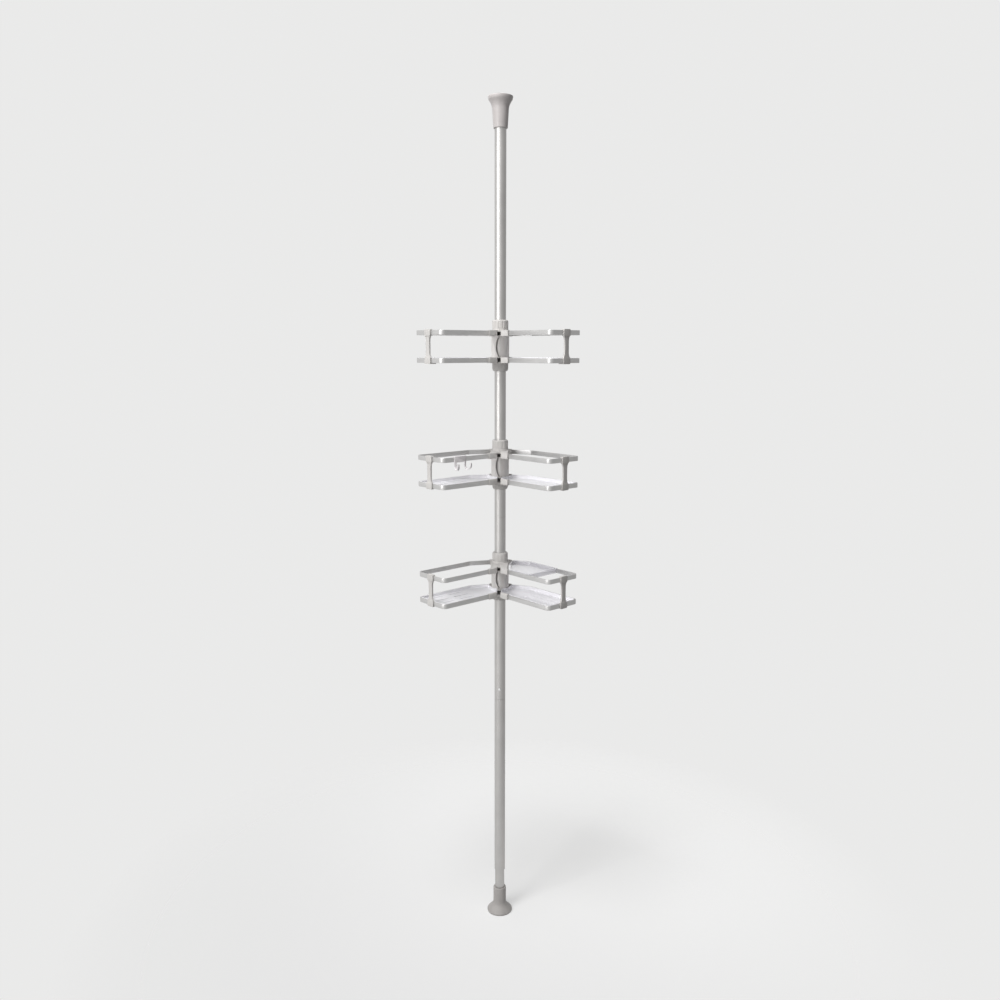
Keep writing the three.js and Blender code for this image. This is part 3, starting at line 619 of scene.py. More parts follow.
def frosted(name, colour, roughness, clear=0.0, shade=1.0):
    """Frosted pale plastic. A clear one casts only a share of the shade that it should."""
    start, feed = finish(
        name,
        Metallic=0.0,
        IOR=1.49,
        Subsurface_Weight=0.25,
        Subsurface_Radius=(1.0, 1.0, 1.0),
        Subsurface_Scale=2 * MM,
        Alpha=1 - clear,
    )
    fine = start.noise(2600, 2)
    haze = start.noise(22, 4).clamped(0.3, 0.7)
    if clear:
        to_lamp = start.node("ShaderNodeLightPath", {}, "Is Shadow Ray")
        feed(Alpha=1 - clear - to_lamp * ((1 - shade) * (1 - clear)))
    return feed(
        Base_Color=(fine * 0.2 + haze * 0.8).mix(tinted(colour, 0.965), tinted(colour, 1.02)),
        Roughness=roughness - 0.06 + haze * 0.06 + fine * 0.06,
        Normal=start.bump(fine, 0.12, 0.05),
    )


def soft_rubber(name, colour, roughness):
    """Soft rubber, a little dusty, with a fine skin."""
    start, feed = finish(name, Metallic=0.0, IOR=1.45, Sheen_Weight=0.08)
    skin = start.noise(1400, 3)
    dust = start.noise(60, 4).clamped(0.4, 0.75)
    return feed(
        Base_Color=(skin * 0.3 + dust * 0.7).mix(tinted(colour, 0.95), tinted(colour, 1.06)),
        Roughness=roughness + dust * 0.12,
        Normal=start.bump(skin, 0.25, 0.06),
    )


def material(name):
    """The finish of that name: one of the pack's own plain ones, or else made here."""
    if name in bpy.data.materials:
        return bpy.data.materials[name]
    colours = bpy.context.scene.shelf_colours
    makers = {
        "pole_satin": (satin_metal, colours.pole, 0.45, (1, 1, 0.02)),
        "band_satin": (satin_metal, colours.band, 0.46, (0.3, 0.3, 12)),
        "cap_rubber": (soft_rubber, colours.cap, 0.36),
        "foot_rubber": (soft_rubber, colours.foot, 0.42),
        "dish_plastic": (frosted, colours.frosted, 0.34, 0.62, 0.15),
        "hook_plastic": (frosted, colours.hook, 0.4),
    }
    make, *values = makers[name]
    return make(name, *values)


class ShelfColours(bpy.types.PropertyGroup):
    """Colours of the unit's finishes."""

    pole: FloatVectorProperty(
        name="Pole", description="Satin aluminium of the tubes",
        subtype="COLOR", size=3, min=0, max=1, default=(0.52, 0.51, 0.50),
    )
    band: FloatVectorProperty(
        name="Bands", description="Satin aluminium of the shelf rings",
        subtype="COLOR", size=3, min=0, max=1, default=(0.59, 0.585, 0.58),
    )
    cap: FloatVectorProperty(
        name="Cap", description="Soft rubber of the ceiling cap",
        subtype="COLOR", size=3, min=0, max=1, default=(0.60, 0.565, 0.555),
    )
    foot: FloatVectorProperty(
        name="Foot", description="Soft rubber of the foot",
        subtype="COLOR", size=3, min=0, max=1, default=(0.45, 0.43, 0.415),
    )
    frosted: FloatVectorProperty(
        name="Frosted plastic", description="Soap dish",
        subtype="COLOR", size=3, min=0, max=1, default=(0.82, 0.81, 0.85),
    )
    hook: FloatVectorProperty(
        name="Hook", description="Frosted plastic of the double hook",
        subtype="COLOR", size=3, min=0, max=1, default=(0.93, 0.89, 0.90),
    )


class ShelfEdges(bpy.types.PropertyGroup):
    """How far the edges of the pieces are rounded."""

    plastic: FloatProperty(
        name="Plastic edges", description="Radius on the hubs in mm, twice that on the end brackets",
        default=0.5, min=0.05, max=1.5,
    )
    tray: FloatProperty(
        name="Tray edges", description="Radius on the trays and the soap dish, in mm",
        default=0.45, min=0.05, max=0.7,
    )
    band: FloatProperty(
        name="Band edges", description="Radius on the flat bands, in mm",
        default=0.5, min=0.05, max=1.0,
    )


class ShelfStage(bpy.types.PropertyGroup):
    """The camera, lights and floor."""

    key: FloatProperty(
        name="Key light", description="Power of the tall soft light in front at the left, in watts",
        default=34, min=0,
    )
    top: FloatProperty(
        name="Top light", description="Power of the soft light high up in front, in watts",
        default=50, min=0,
    )
    air: FloatProperty(
        name="Room light", description="Brightness of the light from all round",
        default=0.26, min=0,
    )
    falloff: FloatProperty(
        name="Falloff", description="How much dimmer the room is at the right than at the left",
        subtype="FACTOR", default=0.4, min=0, max=1,
    )
    backdrop: FloatVectorProperty(
        name="Backdrop", description="Colour of the background",
        subtype="COLOR", size=3, min=0, max=1, default=(0.823, 0.823, 0.819),
    )
    floor: FloatVectorProperty(
        name="Floor", description="Colour of the floor round the foot",
        subtype="COLOR", size=3, min=0, max=1, default=(0.64, 0.64, 0.64),
    )
    floor_glow: FloatProperty(
        name="Floor glow", description="How far the floor is lifted towards the backdrop",
        subtype="FACTOR", default=0.452, min=0, max=1,
    )


class SHELFUNIT_OT_stage(bpy.types.Operator):
    """Sets up the camera, the lights, the background and the floor"""

    bl_idname = "shelfunit.stage"
    bl_label = "Stage"

    def execute(self, context):
        stage = context.scene.shelf_stage
        turn = math.radians(CAMERA_TURN)
        x = CAMERA_DISTANCE * math.sin(turn) + CAMERA_ASIDE
        y = -CAMERA_DISTANCE * math.cos(turn)
        bpy.ops.object.camera_add(
            location=(x, y, CAMERA_HEIGHT),
            rotation=(math.radians(CAMERA_TILT), math.radians(CAMERA_ROLL), turn),
        )
        camera = context.object
        camera.name = "photo_camera"
        camera.data.sensor_width = 36
        camera.data.lens = CAMERA_LENS
        camera.data.clip_end = 50
        context.scene.camera = camera

        soft_light("key_light", stage.key, **KEY_LIGHT)
        soft_light("top_light", stage.top, **TOP_LIGHT)

        world = bpy.data.worlds.new("studio")
        context.scene.world = world
        world.use_nodes = True
        start = emptied(world.node_tree)
        direct = start.node("ShaderNodeLightPath", {}, "Is Camera Ray")
        way = start.node("ShaderNodeTexCoord", {}, "Generated")
        side = start.node("ShaderNodeSeparateXYZ", {0: way}, "X")
        room = start.maths("MINIMUM", 1 - side * stage.falloff, BRIGHTEST_SIDE)
        air = start.node(
            "ShaderNodeBackground", {"Color": (1, 1, 1, 1), "Strength": room * stage.air}
        )
        pale = start.node(
            "ShaderNodeBackground",
            {"Color": (*stage.backdrop, 1), "Strength": direct + (1 - direct) * room},
        )
        seen = start.node("ShaderNodeMixShader", {0: shown_directly(start), 1: air, 2: pale})
        start.node("ShaderNodeOutputWorld", {"Surface": seen})

        bpy.ops.object.select_all(action="DESELECT")
        bpy.ops.mesh.primitive_circle_add(
            vertices=ROUND, radius=FLOOR_RADIUS, fill_type="NGON", location=(0, 0, 0)
        )
        floor = context.object
        floor.name = "floor"
        floor.data.materials.append(floor_finish(stage))

        context.scene.view_settings.view_transform = "Standard"
        return {"FINISHED"}


def shown_directly(start):
    """One for what is seen straight, in metal or through glass, and zero for other light."""
    seen = start.node("ShaderNodeLightPath", {}, "Is Camera Ray")
    seen = seen + start.node("ShaderNodeLightPath", {}, "Is Glossy Ray")
    seen = seen + start.node("ShaderNodeLightPath", {}, "Is Transmission Ray")
    return seen.clamped()


def soft_light(name, power, at, towards, size):
    """A softbox of some width and height that faces a point."""
    bpy.ops.object.light_add(type="AREA", location=at)
    light = bpy.context.object
    light.name = name
    light.data.shape = "RECTANGLE"
    light.data.size, light.data.size_y = size
    light.data.energy = power
    light.rotation_euler = (Vector(towards) - Vector(at)).to_track_quat("-Z", "Y").to_euler()


def floor_finish(stage):
    """Pale matt floor that fades into the background away from the foot."""
    floor = bpy.data.materials.new("pale_floor")
    floor.use_nodes = True
    start = emptied(floor.node_tree)
    speckle = start.noise(400, 2)
    colour = speckle.mix(tinted(stage.floor, 0.995), tinted(stage.floor, 1.005))
    matt = start.node("ShaderNodeBsdfDiffuse", {"Color": colour})
    place = start.node("ShaderNodeTexCoord", {}, "Object")
    direct = start.node("ShaderNodeLightPath", {}, "Is Camera Ray")
    side = start.node("ShaderNodeSeparateXYZ", {0: place}, "X")
    behind = start.node("ShaderNodeSeparateXYZ", {0: place}, "Y")
    away = 1 + (side * FROM_LIGHTS[0] + behind * FROM_LIGHTS[1]) * GLOW_RISE
    # In reflections the floor's glow is painted darker towards the right: painted shade that follows
    # the room's falloff. Seen straight, it stays even.
    painted_reflected_shade = 1 - side * (1 - direct) * stage.falloff * REFLECTED_FALLOFF
    strength = shown_directly(start) * painted_reflected_shade * away * stage.floor_glow
    glow = start.node(
        "ShaderNodeEmission", {"Color": (*stage.backdrop, 1), "Strength": strength}
    )
    lit = start.node("ShaderNodeAddShader", {0: matt, 1: glow})
    clear = start.node("ShaderNodeBsdfTransparent", {})
    far = start.node("ShaderNodeVectorMath", {0: place}, "Value", operation="LENGTH")
    fade = far.clamped(FLOOR_FADES_FROM, 1.0)
    seen = start.node("ShaderNodeMixShader", {0: fade, 1: lit, 2: clear})
    start.node("ShaderNodeOutputMaterial", {"Surface": seen})
    return floor


class SHELFUNIT_OT_pole(bpy.types.Operator):
    """Makes the four tubes of the pole, the plunger tube and the snap button"""

    bl_idname = "shelfunit.pole"
    bl_label = "Pole"

    def execute(self, context):
        metal = material("pole_satin")
        for node in ("lower_tube", "middle_tube", "upper_tube", "top_tube", "plunger_tube"):
            low, high = (corner.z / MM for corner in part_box(node))
            outer = PLUNGER_RADIUS if node == "plunger_tube" else POLE_RADIUS
            bore = outer - TUBE_WALL
            tube = lathe([
                (bore, low + TUBE_LIP),
                (bore + TUBE_LIP, low),
                (outer - TUBE_LIP, low),
                (outer, low + TUBE_LIP),
                (outer, high - TUBE_LIP),
                (outer - TUBE_LIP, high),
                (bore + TUBE_LIP, high),
                (bore, high - TUBE_LIP),
                (bore, low + TUBE_LIP),
            ])
            if node == "middle_tube":
                hole = lathe([(BUTTON_HOLE, -OVER), (BUTTON_HOLE, POLE_RADIUS + OVER)], SMALL_ROUND)
                cut(tube, self.at_button(hole))
            stand_for(soften(tube, 0), node, metal)
        self.button()
        return {"FINISHED"}

    def at_button(self, obj):
        """Lays a turned piece from the pole's axis to the front, at the button's height."""
        low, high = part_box("snap_button")
        return set_at(obj, (90, 0, 0), (0, 0, high.z / MM - BUTTON_DROP))

    def button(self):
        """A domed pin on the front leg of its strip."""
        leg, proud, dome, thick = 7.9, 14.7, 1.2, 0.8
        crown = []
        for step in range(11):
            angle = math.radians(9 * step)
            height = proud - dome + dome * math.sin(angle)
            crown.append((BUTTON_RADIUS * math.cos(angle), height))
        pin = self.at_button(lathe([(BUTTON_RADIUS, leg), *crown], SMALL_ROUND))
        low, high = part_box("snap_button")
        back = high.y / MM
        corner = (-BUTTON_RADIUS, back - thick, low.z / MM)
        strip = block(corner, (BUTTON_RADIUS, back, high.z / MM))
        stand_for(soften(join(pin, strip), 0.15, 2), "snap_button", material("spring_steel"))


class SHELFUNIT_OT_ends(bpy.types.Operator):
    """Makes the ceiling cap and the foot"""

    bl_idname = "shelfunit.ends"
    bl_label = "Ceiling cap and foot"

    def execute(self, context):
        self.foot()
        self.cap()
        return {"FINISHED"}

    def foot(self):
        """From the groove in its sole round the flare and the neck to the socket's floor."""
        groove = [(13, 0), (13, 1.5), (22, 1.5), (22, 0)]
        sole = [(28.9, 0), (29.3, 0.4), (29.5, 1.0)]
        flare = bezier((29.5, 4), (22.2, 13.5), (15, 15.5), (15, 27), 18)
        neck = [(15, 59), (14.7, 60.3), (14.2, 61)]
        socket = [(11.6, 61), (11.3, 60.7), (11.3, 14), (0, 14)]
        foot = lathe([*groove, *sole, *flare, *neck, *socket])
        stand_for(soften(foot, 0), "foot", material("foot_rubber"))

    def cap(self):
        """From the mouth round the pole up the flare to the rim, closed on top."""
        low, high = (corner.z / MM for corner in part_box("ceiling_cap"))
        rim = high - 6.5
        throat = rim - 18
        middle = (throat + rim) / 2
        mouth = [
            (POLE_HOLE, low + LIP), (POLE_HOLE + LIP, low),
            (14.65, low), (15.2, low + 0.6), (15.4, low + 1.5),
        ]
        flare = bezier((17.7, throat), (19.2, middle), (21.8, rim - 6), (25.5, rim), 16)
        top = [(26.5, high - 1.8), (26.4, high - 0.6), (25.9, high), (0, high)]
        cap = lathe([*mouth, *flare, *top])
        closed = 30.4
        socket = lathe([(POLE_HOLE, low - OVER), (POLE_HOLE, high - closed)])
        stand_for(soften(cut(cap, socket), 0), "ceiling_cap", material("cap_rubber"))


def bezier(start, first, second, end, steps):
    """Points on a curve between two places, drawn by two handles."""
    spots = []
    for step in range(steps + 1):
        t = step / steps
        u = 1 - t
        spots.append(tuple(
            u ** 3 * a + 3 * u * u * t * b + 3 * u * t * t * c + t ** 3 * d
            for a, b, c, d in zip(start, first, second, end)
        ))
    return spots


class SHELFUNIT_OT_collars(bpy.types.Operator):
    """Makes the locking collars, the base collars and the split grips"""

    bl_idname = "shelfunit.collars"
    bl_label = "Collars and grips"

    def execute(self, context):
        grey = material("grey_plastic")
        lock = soften(self.lock(), 0.25, 2, 40)
        copies_for(lock, on_each_shelf(("lock_collar", 0, False)), grey)
        base = soften(self.base(), 0.2, 2, 40)
        copies_for(base, on_each_shelf(("base_collar", 0, False)), grey)
        grip = soften(self.grip(), 0.2, 2)
        copies_for(grip, on_each_shelf(("grip", 0, False)), material("inner_plastic"))
        return {"FINISHED"}

    def lock(self):
        """A collar with a round shoulder and a cone inside that presses on the grip."""
        low = SEAT_TOP + GAP
        high = low + COLLAR_HEIGHT
        roof = high - 3
        shoulder = arc((COLLAR_RADIUS - 4, high - 4), 4, 0, 80, 12)
        lock = lathe([
            (SHELL_BORE, low), (COLLAR_RADIUS - LIP, low), (COLLAR_RADIUS, low + LIP),
            *[(spot.x, spot.y) for spot in shoulder],
            (POLE_HOLE + LIP, high), (POLE_HOLE, high - LIP),
            (POLE_HOLE, roof), (14.4, roof), (SHELL_BORE, high - 11.3), (SHELL_BORE, low),
        ])
        return self.fluted(lock, 0.8, low - OVER, roof)

    def base(self):
        """A bowl under the hub, round the foot of the grip."""
        top = -WING_RISE - GAP
        low = top - COLLAR_HEIGHT
        floor = low + 2.5
        bowl = bezier((15, low), (16.2, low + 1.2), (17.3, low + 4.2), (COLLAR_RADIUS, low + 7), 10)
        base = lathe([
            (POLE_HOLE, low + LIP), (POLE_HOLE + LIP, low), *bowl,
            (COLLAR_RADIUS, top - LIP), (COLLAR_RADIUS - LIP, top),
            (SHELL_BORE + LIP, top), (SHELL_BORE, top - LIP), (SHELL_BORE, floor),
            (POLE_HOLE, floor), (POLE_HOLE, low + LIP),
        ])
        return self.fluted(base, 0.45, low + 4, top + OVER)

    def grip(self):
        """A sleeve with a waist between the rings, split behind."""
        low = -WING_RISE - GAP - COLLAR_HEIGHT + 2.8
        high = SEAT_TOP + GAP + 14.7
        waist, slope, slot = GRIP_RADIUS - 1, 2, 1.5
        grip = lathe([
            (POLE_HOLE, low), (GRIP_RADIUS, low), (GRIP_RADIUS, WING_RISE),
            (waist, WING_RISE + slope), (waist, RING_SPACING - WING_RISE - slope),
            (GRIP_RADIUS, RING_SPACING - WING_RISE), (GRIP_RADIUS, high - 8),
            (GRIP_RADIUS - 0.9, high), (POLE_HOLE, high), (POLE_HOLE, low),
        ])
        return cut(grip, block((-slot, 0, low - OVER), (slot, GRIP_RADIUS + OVER, high + OVER)))

    def fluted(self, collar, depth, low, high):
        """Cuts twelve rounded grooves down the outside of a collar."""
        radius, end, first, sides = 2.4, 1.4, 22, 32
        away = Vector((COLLAR_RADIUS + radius - depth, 0))
        profile = [(radius / 2, low), (radius, low + end), (radius, high - end), (radius / 2, high)]
        for i in range(12):
            place = turned_by(away, math.radians(30 * i + first))
            cut(collar, set_at(lathe(profile, sides), at=(place.x, place.y, 0)))
        return collar


class SHELFUNIT_OT_hubs(bpy.types.Operator):
    """Makes the two halves of each hub, with their sockets, wings and window"""

    bl_idname = "shelfunit.hubs"
    bl_label = "Hubs"

    def execute(self, context):
        edge, sharp = context.scene.shelf_edges.plastic, 38
        grey = material("grey_plastic")
        left = join(soften(self.half(), edge, 3, sharp), *self.skins())
        right = soften(join(copy_of(left), soften(self.panel(), 0.3, 2, sharp)), 0, angle=sharp)
        soften(left, 0, angle=sharp)
        copies_for(left, on_each_shelf(("hub_left", 0, True)), grey)
        copies_for(right, on_each_shelf(("hub_right", 0, False)), grey)
        return {"FINISHED"}

    def half(self):
        """Half a hub, on the right: a shell with wings at both rings, then all its cuts."""
        top_low, top_high = RING_SPACING - WING_RISE, RING_SPACING + WING_RISE
        inner, corner = SHELL_BORE - 1, (-FAR, -FAR, -FAR)
        half = lathe([
            (inner, -WING_RISE), (SHELL_RADIUS, -WING_RISE), (SHELL_RADIUS, top_high),
            (COLLAR_RADIUS, top_high), (COLLAR_RADIUS, SEAT_TOP), (inner, SEAT_TOP),
            (inner, -WING_RISE),
        ])
        cut(half, block(corner, (SPLIT_HALF, FAR, FAR)))
        ear = ribbon([on_back_line(EAR_END_X), BACK_END + BACK_WAY * SOCKET_COVER], SOCKET_HALF)
        ends = [on_arm(BAND_START - SOCKET_COVER, -ARM_FRONT), on_arm(SOCKET_END, -ARM_FRONT)]
        front = ribbon(ends, SOCKET_HALF)
        wing = self.wing_plan()
        join(
            half,
            plate(wing, top_low, top_high),
            plate(wing, -WING_RISE, -WING_RISE + WING_FLOOR),
            plate(ear, top_low, top_high),
            plate(front, top_low, top_high),
            plate(ear, -WING_RISE, WING_RISE),
            plate(front, -WING_RISE, WING_RISE),
        )
        room = ribbon(lengthened(rounded(BAND_CORNERS, BAND_CORNER), GAP), BAND_HALF + GAP)
        pocket = places([(6.5, -22), (16, -22), (16, -51.6), (6.5, -42.1)])
        cut(
            half,
            lathe([(SHELL_BORE, -FAR), (SHELL_BORE, FAR)]),
            block(corner, (SPLIT_HALF, FAR, FAR)),
            block(corner, (NOTCH_HALF_WIDTH, -SHELL_RADIUS - GAP, FAR)),
            plate(room, -BAND_RISE - GAP, BAND_RISE + GAP),
            plate(room, RING_SPACING - BAND_RISE - GAP, RING_SPACING + BAND_RISE + GAP),
            upright_lens(WINDOW_EDGE, WINDOW_EDGE, WINDOW_RISE),
            block((0, -FAR, -FAR), (NOTCH_HALF_WIDTH, 0, WING_RISE)),
            block((0, -FAR, top_low), (NOTCH_HALF_WIDTH, 0, top_high - WING_ROOF)),
            plate(pocket, top_low - OVER, top_high - WING_ROOF),
        )
        return half

    def skins(self):
        """Thin plates over and under the notch at both rings, which keep it dark."""
        top_low, top_high = RING_SPACING - WING_RISE, RING_SPACING + WING_RISE
        back = -SHELL_RADIUS + 2.5
        return [
            block((SPLIT_HALF, -reach, low), (NOTCH_HALF_WIDTH + GAP, back, high))
            for reach, low, high in (
                (47, top_high - WING_ROOF, top_high),
                (46, top_low, top_low + SKIN),
                (36, WING_RISE - SKIN, WING_RISE),
                (46, -WING_RISE, -WING_RISE + SKIN),
            )
        ]

    def panel(self):
        """The sunk part of the right half, which leaves only a crescent of the window open."""
        inner, outer = SHELL_BORE + 0.1, SHELL_RADIUS - 1.8
        low, high = WING_RISE + 0.2, RING_SPACING - WING_RISE - 0.2
        ring = lathe([(inner, low), (outer, low), (outer, high), (inner, high), (inner, low)])
        lens = upright_lens((4.3, 0.5), (10.6, 5.2), (high - low) / 2 + 0.1)
        return combine(ring, lens, "INTERSECT")

    def wing_plan(self):
        """Plan of a wing, from the notch in front to the split behind."""
        inner = -SHELL_BORE - 2.1
        front_line = -ARM_FRONT / math.sin(ARM_ANGLE)
        return [
            Vector((SPLIT_HALF, inner)),
            Vector((NOTCH_HALF_WIDTH, inner)),
            Vector((NOTCH_HALF_WIDTH, front_line - NOTCH_HALF_WIDTH)),
            Vector((WING_HALF_WIDTH, front_line - WING_HALF_WIDTH)),
            on_back_line(WING_HALF_WIDTH),
            on_back_line(SPLIT_HALF),
        ]


class SHELFUNIT_OT_bands(bpy.types.Operator):
    """Makes the flat bands of the shelf rings"""

    bl_idname = "shelfunit.bands"
    bl_label = "Bands"

    def execute(self, context):
        edge = context.scene.shelf_edges.band
        outline = ribbon(rounded(BAND_CORNERS, BAND_CORNER), BAND_HALF)
        band = soften(plate(outline, -BAND_RISE, BAND_RISE), edge, 3, 60)
        nodes = on_each_shelf(*on_each_arm("lower_band"), *on_each_arm("upper_band", RING_SPACING))
        copies_for(band, nodes, material("band_satin"))
        return {"FINISHED"}


class SHELFUNIT_OT_brackets(bpy.types.Operator):
    """Makes the end brackets that join the upper and lower rings"""

    bl_idname = "shelfunit.brackets"
    bl_label = "End brackets"

    def execute(self, context):
        bracket = soften(self.bracket(), context.scene.shelf_edges.plastic * 2, 4, 40)
        copies_for(bracket, on_each_shelf(*on_each_arm("bracket")), material("grey_plastic"))
        return {"FINISHED"}

    def bracket(self):
        """An I over both bands, with a tongue under the tray."""
        wide, neck, head, tall = 9.5, 5.5, 3.4, 7
        tongue, seat = 12, -3.5
        sweep = places(bezier((wide, 5), (neck + 2, 9), (neck, 11), (neck, 18), 12))
        side = sweep + [Vector((spot.x, RING_SPACING - spot.y)) for spot in reversed(sweep)]
        piece = self.upright(side + across(side), -1.1, 2.5)
        for level in (0, RING_SPACING):
            low, high = level - tall, level + tall
            corners = places([(-wide, low), (wide, low), (wide, high), (-wide, high)])
            join(piece, self.upright(rounded(corners, 2.2, True, 6), -head, head))
        join(piece, block((-head - tongue, -neck, -tall), (0, neck, seat)))
        past = wide + OVER
        cut(piece, block((-head - OVER, -past, seat), (-BAND_HALF, past, tall + GAP)))
        room, rise = BAND_HALF + GAP, BAND_RISE + GAP
        for level in (0, RING_SPACING):
            cut(piece, block((-room, -past, level - rise), (room, past, level + rise)))
        middle = on_arm(ARM_REACH, ARM_MIDDLE)
        return set_at(piece, (0, 0, -math.degrees(ARM_ANGLE)), (middle.x, middle.y, 0))

    def upright(self, outline, inner, outer):
        """A plate that stands across the arm, from its outline seen from the arm's end."""
        return set_at(set_at(plate(outline, inner, outer), (90, 0, 0)), (0, 0, 90))


class SHELFUNIT_OT_trays(bpy.types.Operator):
    """Makes the drained trays"""

    bl_idname = "shelfunit.trays"
    bl_label = "Trays"

    def execute(self, context):
        low, top = -3.2, 5.3
        floor = low + PAN_WALL
        tray = hollow(plate(self.plan(), low, top), top, PAN_WALL, top - low - PAN_WALL)
        slot, reach, spacing = 1.3, 20, 22
        for row in (-1.5, -0.5, 0.5, 1.5):
            aside = ARM_MIDDLE + row * spacing
            for along in (100, 154):
                line = [on_arm(along - reach, aside), on_arm(along + reach, aside)]
                outline = rounded(ribbon(line, slot), slot - 0.01, True, 8)
                cut(tray, plate(outline, low - OVER, floor + OVER))
        dimple = lathe([(3.6, floor - 0.9), (4.6, floor), (4.6, floor + OVER)], SMALL_ROUND)
        place = on_arm(174, ARM_MIDDLE - 27)
        cut(tray, set_at(dimple, at=(place.x, place.y, 0)))
        soften(tray, context.scene.shelf_edges.tray, 3, 40)
        copies_for(tray, on_each_shelf(*on_each_arm("tray")), material("frosted_plastic"))
        return {"FINISHED"}

    def plan(self):
        """Inside the ring, round the sockets and round the hub's shell."""
        front, back = TRAY_INSET - ARM_FRONT, ARM_BACK - TRAY_INSET
        by_socket = SOCKET_HALF + TRAY_PLAY - ARM_FRONT
        start = SOCKET_END + 2
        outer = rounded(
            [
                on_arm(start, front),
                on_arm(ARM_REACH - TRAY_INSET, front),
                on_arm(ARM_REACH - TRAY_INSET, back),
                inner_bend(),
                on_back_line(EAR_END_X + 2, TRAY_INSET),
            ],
            BAND_CORNER - TRAY_INSET,
        )
        inner_x = NOTCH_HALF_WIDTH + TRAY_PLAY
        room = SHELL_RADIUS + TRAY_PLAY
        last = math.degrees(math.asin(inner_x / room)) - 90
        tip = Vector((inner_x, by_socket / math.sin(ARM_ANGLE) - inner_x))
        return [*outer, *arc((0, 0), room, 0, last, 18), tip, on_arm(start, by_socket)]


class SHELFUNIT_OT_extras(bpy.types.Operator):
    """Makes the soap dish and the double hook"""

    bl_idname = "shelfunit.extras"
    bl_label = "Soap dish and hook"

    def execute(self, context):
        edge = context.scene.shelf_edges.tray
        rise = ring_height("low_shelf") + RING_SPACING
        dish = soften(self.dish(), edge, 3, 40)
        copies_for(dish, {"soap_dish": (rise, False)}, material("dish_plastic"))
        rise = ring_height("middle_shelf")
        hook = soften(self.hook(), 0.4, 3, 40)
        copies_for(hook, {"double_hook": (rise, True)}, material("hook_plastic"))
        return {"FINISHED"}

    def dish(self):
        """A shallow pan with a rim that lies on the band."""
        low, rim_low, top = -4.5, 5.3, 6.5
        from_socket, end, corner = 7, 132, 5
        corners = [
            on_arm(SOCKET_END + from_socket, TRAY_INSET - ARM_FRONT),
            on_arm(end, TRAY_INSET - ARM_FRONT),
            on_arm(end, ARM_BACK - TRAY_INSET),
            inner_bend(),
            on_back_line(EAR_END_X + from_socket, TRAY_INSET),
            Vector((24, -20)),
        ]
        plan = rounded(corners, corner, True)
        rim = plate(shifted(plan, -TRAY_INSET - BAND_HALF, True), rim_low, top)
        dish = join(plate(plan, low, top - 0.01), rim)
        return cut(dish, plate(shifted(plan, PAN_WALL, True), low + PAN_WALL, top + OVER))

    def hook(self):
        """A saddle over the band and two prongs that curl up in front of it."""
        inner, thick = BAND_HALF + GAP, 1.6
        outer = inner + thick
        band_top = BAND_RISE + GAP
        top = band_top + thick
        back, front = top - 6, top - 13
        saddle = places([
            (-inner, back), (-inner, band_top), (inner, band_top), (inner, front),
            (outer, front), (outer, top), (-outer, top), (-outer, back),
        ])
        half, narrow, splay = 15.5, 2.5, 15
        body = plate(saddle, -half, half)
        middle = inner + thick / 2
        curl, tip = 7.5, 5.5
        low = front - curl
        path = [Vector((middle, front + GAP)), *arc((middle + curl, low), curl, 180, 360, 20)]
        path.append(Vector((middle + 2 * curl, low + tip)))
        for side in (-1, 1):
            prong = set_at(plate(ribbon(path, thick / 2), -narrow, narrow), at=(-middle, 0, 0))
            set_at(prong, (0, -side * splay, 0), (middle, 0, side * (half - narrow)))
            join(body, prong)
        seat = on_arm(ARM_REACH - 45, -ARM_FRONT)
        set_at(body, (90, 0, 0))
        return set_at(body, (0, 0, -90 - math.degrees(ARM_ANGLE)), (seat.x, seat.y, RING_SPACING))


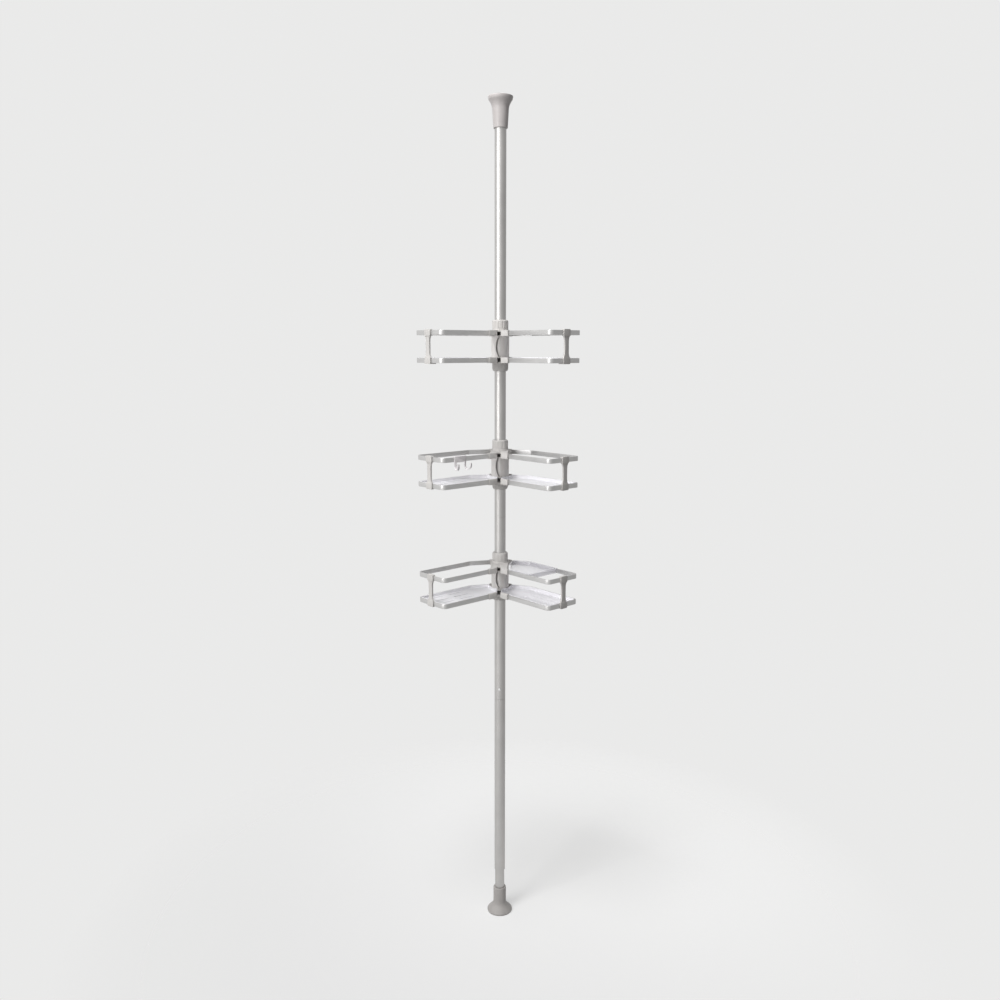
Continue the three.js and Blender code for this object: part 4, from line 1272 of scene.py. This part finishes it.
class SHELFUNIT_OT_inner_parts(bpy.types.Operator):
    """Winds the spring inside the pole"""

    bl_idname = "shelfunit.inner_parts"
    bl_label = "Parts inside the pole"

    def execute(self, context):
        self.spring()
        return {"FINISHED"}

    def spring(self):
        """A coil with a closed turn at each end. In the real unit it shortens as the plunger comes
        up.
        """
        low, high = (corner.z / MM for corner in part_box("compression_spring"))
        steps, sides = 20, 8
        closed = 2 * SPRING_WIRE + GAP
        pitch = (high - low - 2 * SPRING_WIRE - 2 * closed) / (SPRING_TURNS - 2)
        coil = begin(
            bpy.ops.mesh.primitive_circle_add,
            vertices=sides,
            radius=SPRING_WIRE * MM,
            fill_type="NOTHING",
            location=(SPRING_RADIUS * MM, 0, (low + SPRING_WIRE) * MM),
            rotation=(math.pi / 2, 0, 0),
        )
        for turn in range(SPRING_TURNS):
            rise = (closed if turn in (0, SPRING_TURNS - 1) else pitch) / steps
            for _ in range(steps):
                up = {"value": (0, 0, rise * MM)}
                bpy.ops.mesh.extrude_edges_move(TRANSFORM_OT_translate=up)
                bpy.ops.transform.rotate(
                    value=math.tau / steps, orient_axis="Z", center_override=(0, 0, 0)
                )
        close_up()
        soften(coil, 0, angle=60)
        stand_for(coil, "compression_spring", material("spring_steel"))
        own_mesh(coil)


class SHELFUNIT_PT_panel(bpy.types.Panel):
    """Lists the sizes, the colours and the steps that make the unit."""

    bl_idname = "SHELFUNIT_PT_panel"
    bl_label = "Tension pole shelf unit"
    bl_space_type = "VIEW_3D"
    bl_region_type = "UI"
    bl_category = "Shelf unit"

    def draw(self, context):
        layout = self.layout
        scene = context.scene
        for group in (scene.shelf_colours, scene.shelf_edges, scene.shelf_stage):
            box = layout.box()
            for name in group.__annotations__:
                box.prop(group, name)
        for operator in OPERATORS:
            layout.operator(operator.bl_idname)


OPERATORS = (
    SHELFUNIT_OT_stage,
    SHELFUNIT_OT_pole,
    SHELFUNIT_OT_ends,
    SHELFUNIT_OT_collars,
    SHELFUNIT_OT_hubs,
    SHELFUNIT_OT_bands,
    SHELFUNIT_OT_brackets,
    SHELFUNIT_OT_trays,
    SHELFUNIT_OT_extras,
    SHELFUNIT_OT_inner_parts,
)
CLASSES = (ShelfColours, ShelfEdges, ShelfStage, *OPERATORS, SHELFUNIT_PT_panel)


def register():
    """Adds the classes and the settings to Blender."""
    for cls in CLASSES:
        bpy.utils.register_class(cls)
    bpy.types.Scene.shelf_colours = PointerProperty(type=ShelfColours)
    bpy.types.Scene.shelf_edges = PointerProperty(type=ShelfEdges)
    bpy.types.Scene.shelf_stage = PointerProperty(type=ShelfStage)


def unregister():
    """Takes them out again."""
    del bpy.types.Scene.shelf_stage
    del bpy.types.Scene.shelf_edges
    del bpy.types.Scene.shelf_colours
    for cls in reversed(CLASSES):
        bpy.utils.unregister_class(cls)


def main():
    """Makes the whole unit."""
    register()
    for operator in OPERATORS:
        group, name = operator.bl_idname.split(".")
        getattr(getattr(bpy.ops, group), name)()
    bpy.context.view_layer.update()


if __name__ == "__main__":
    main()
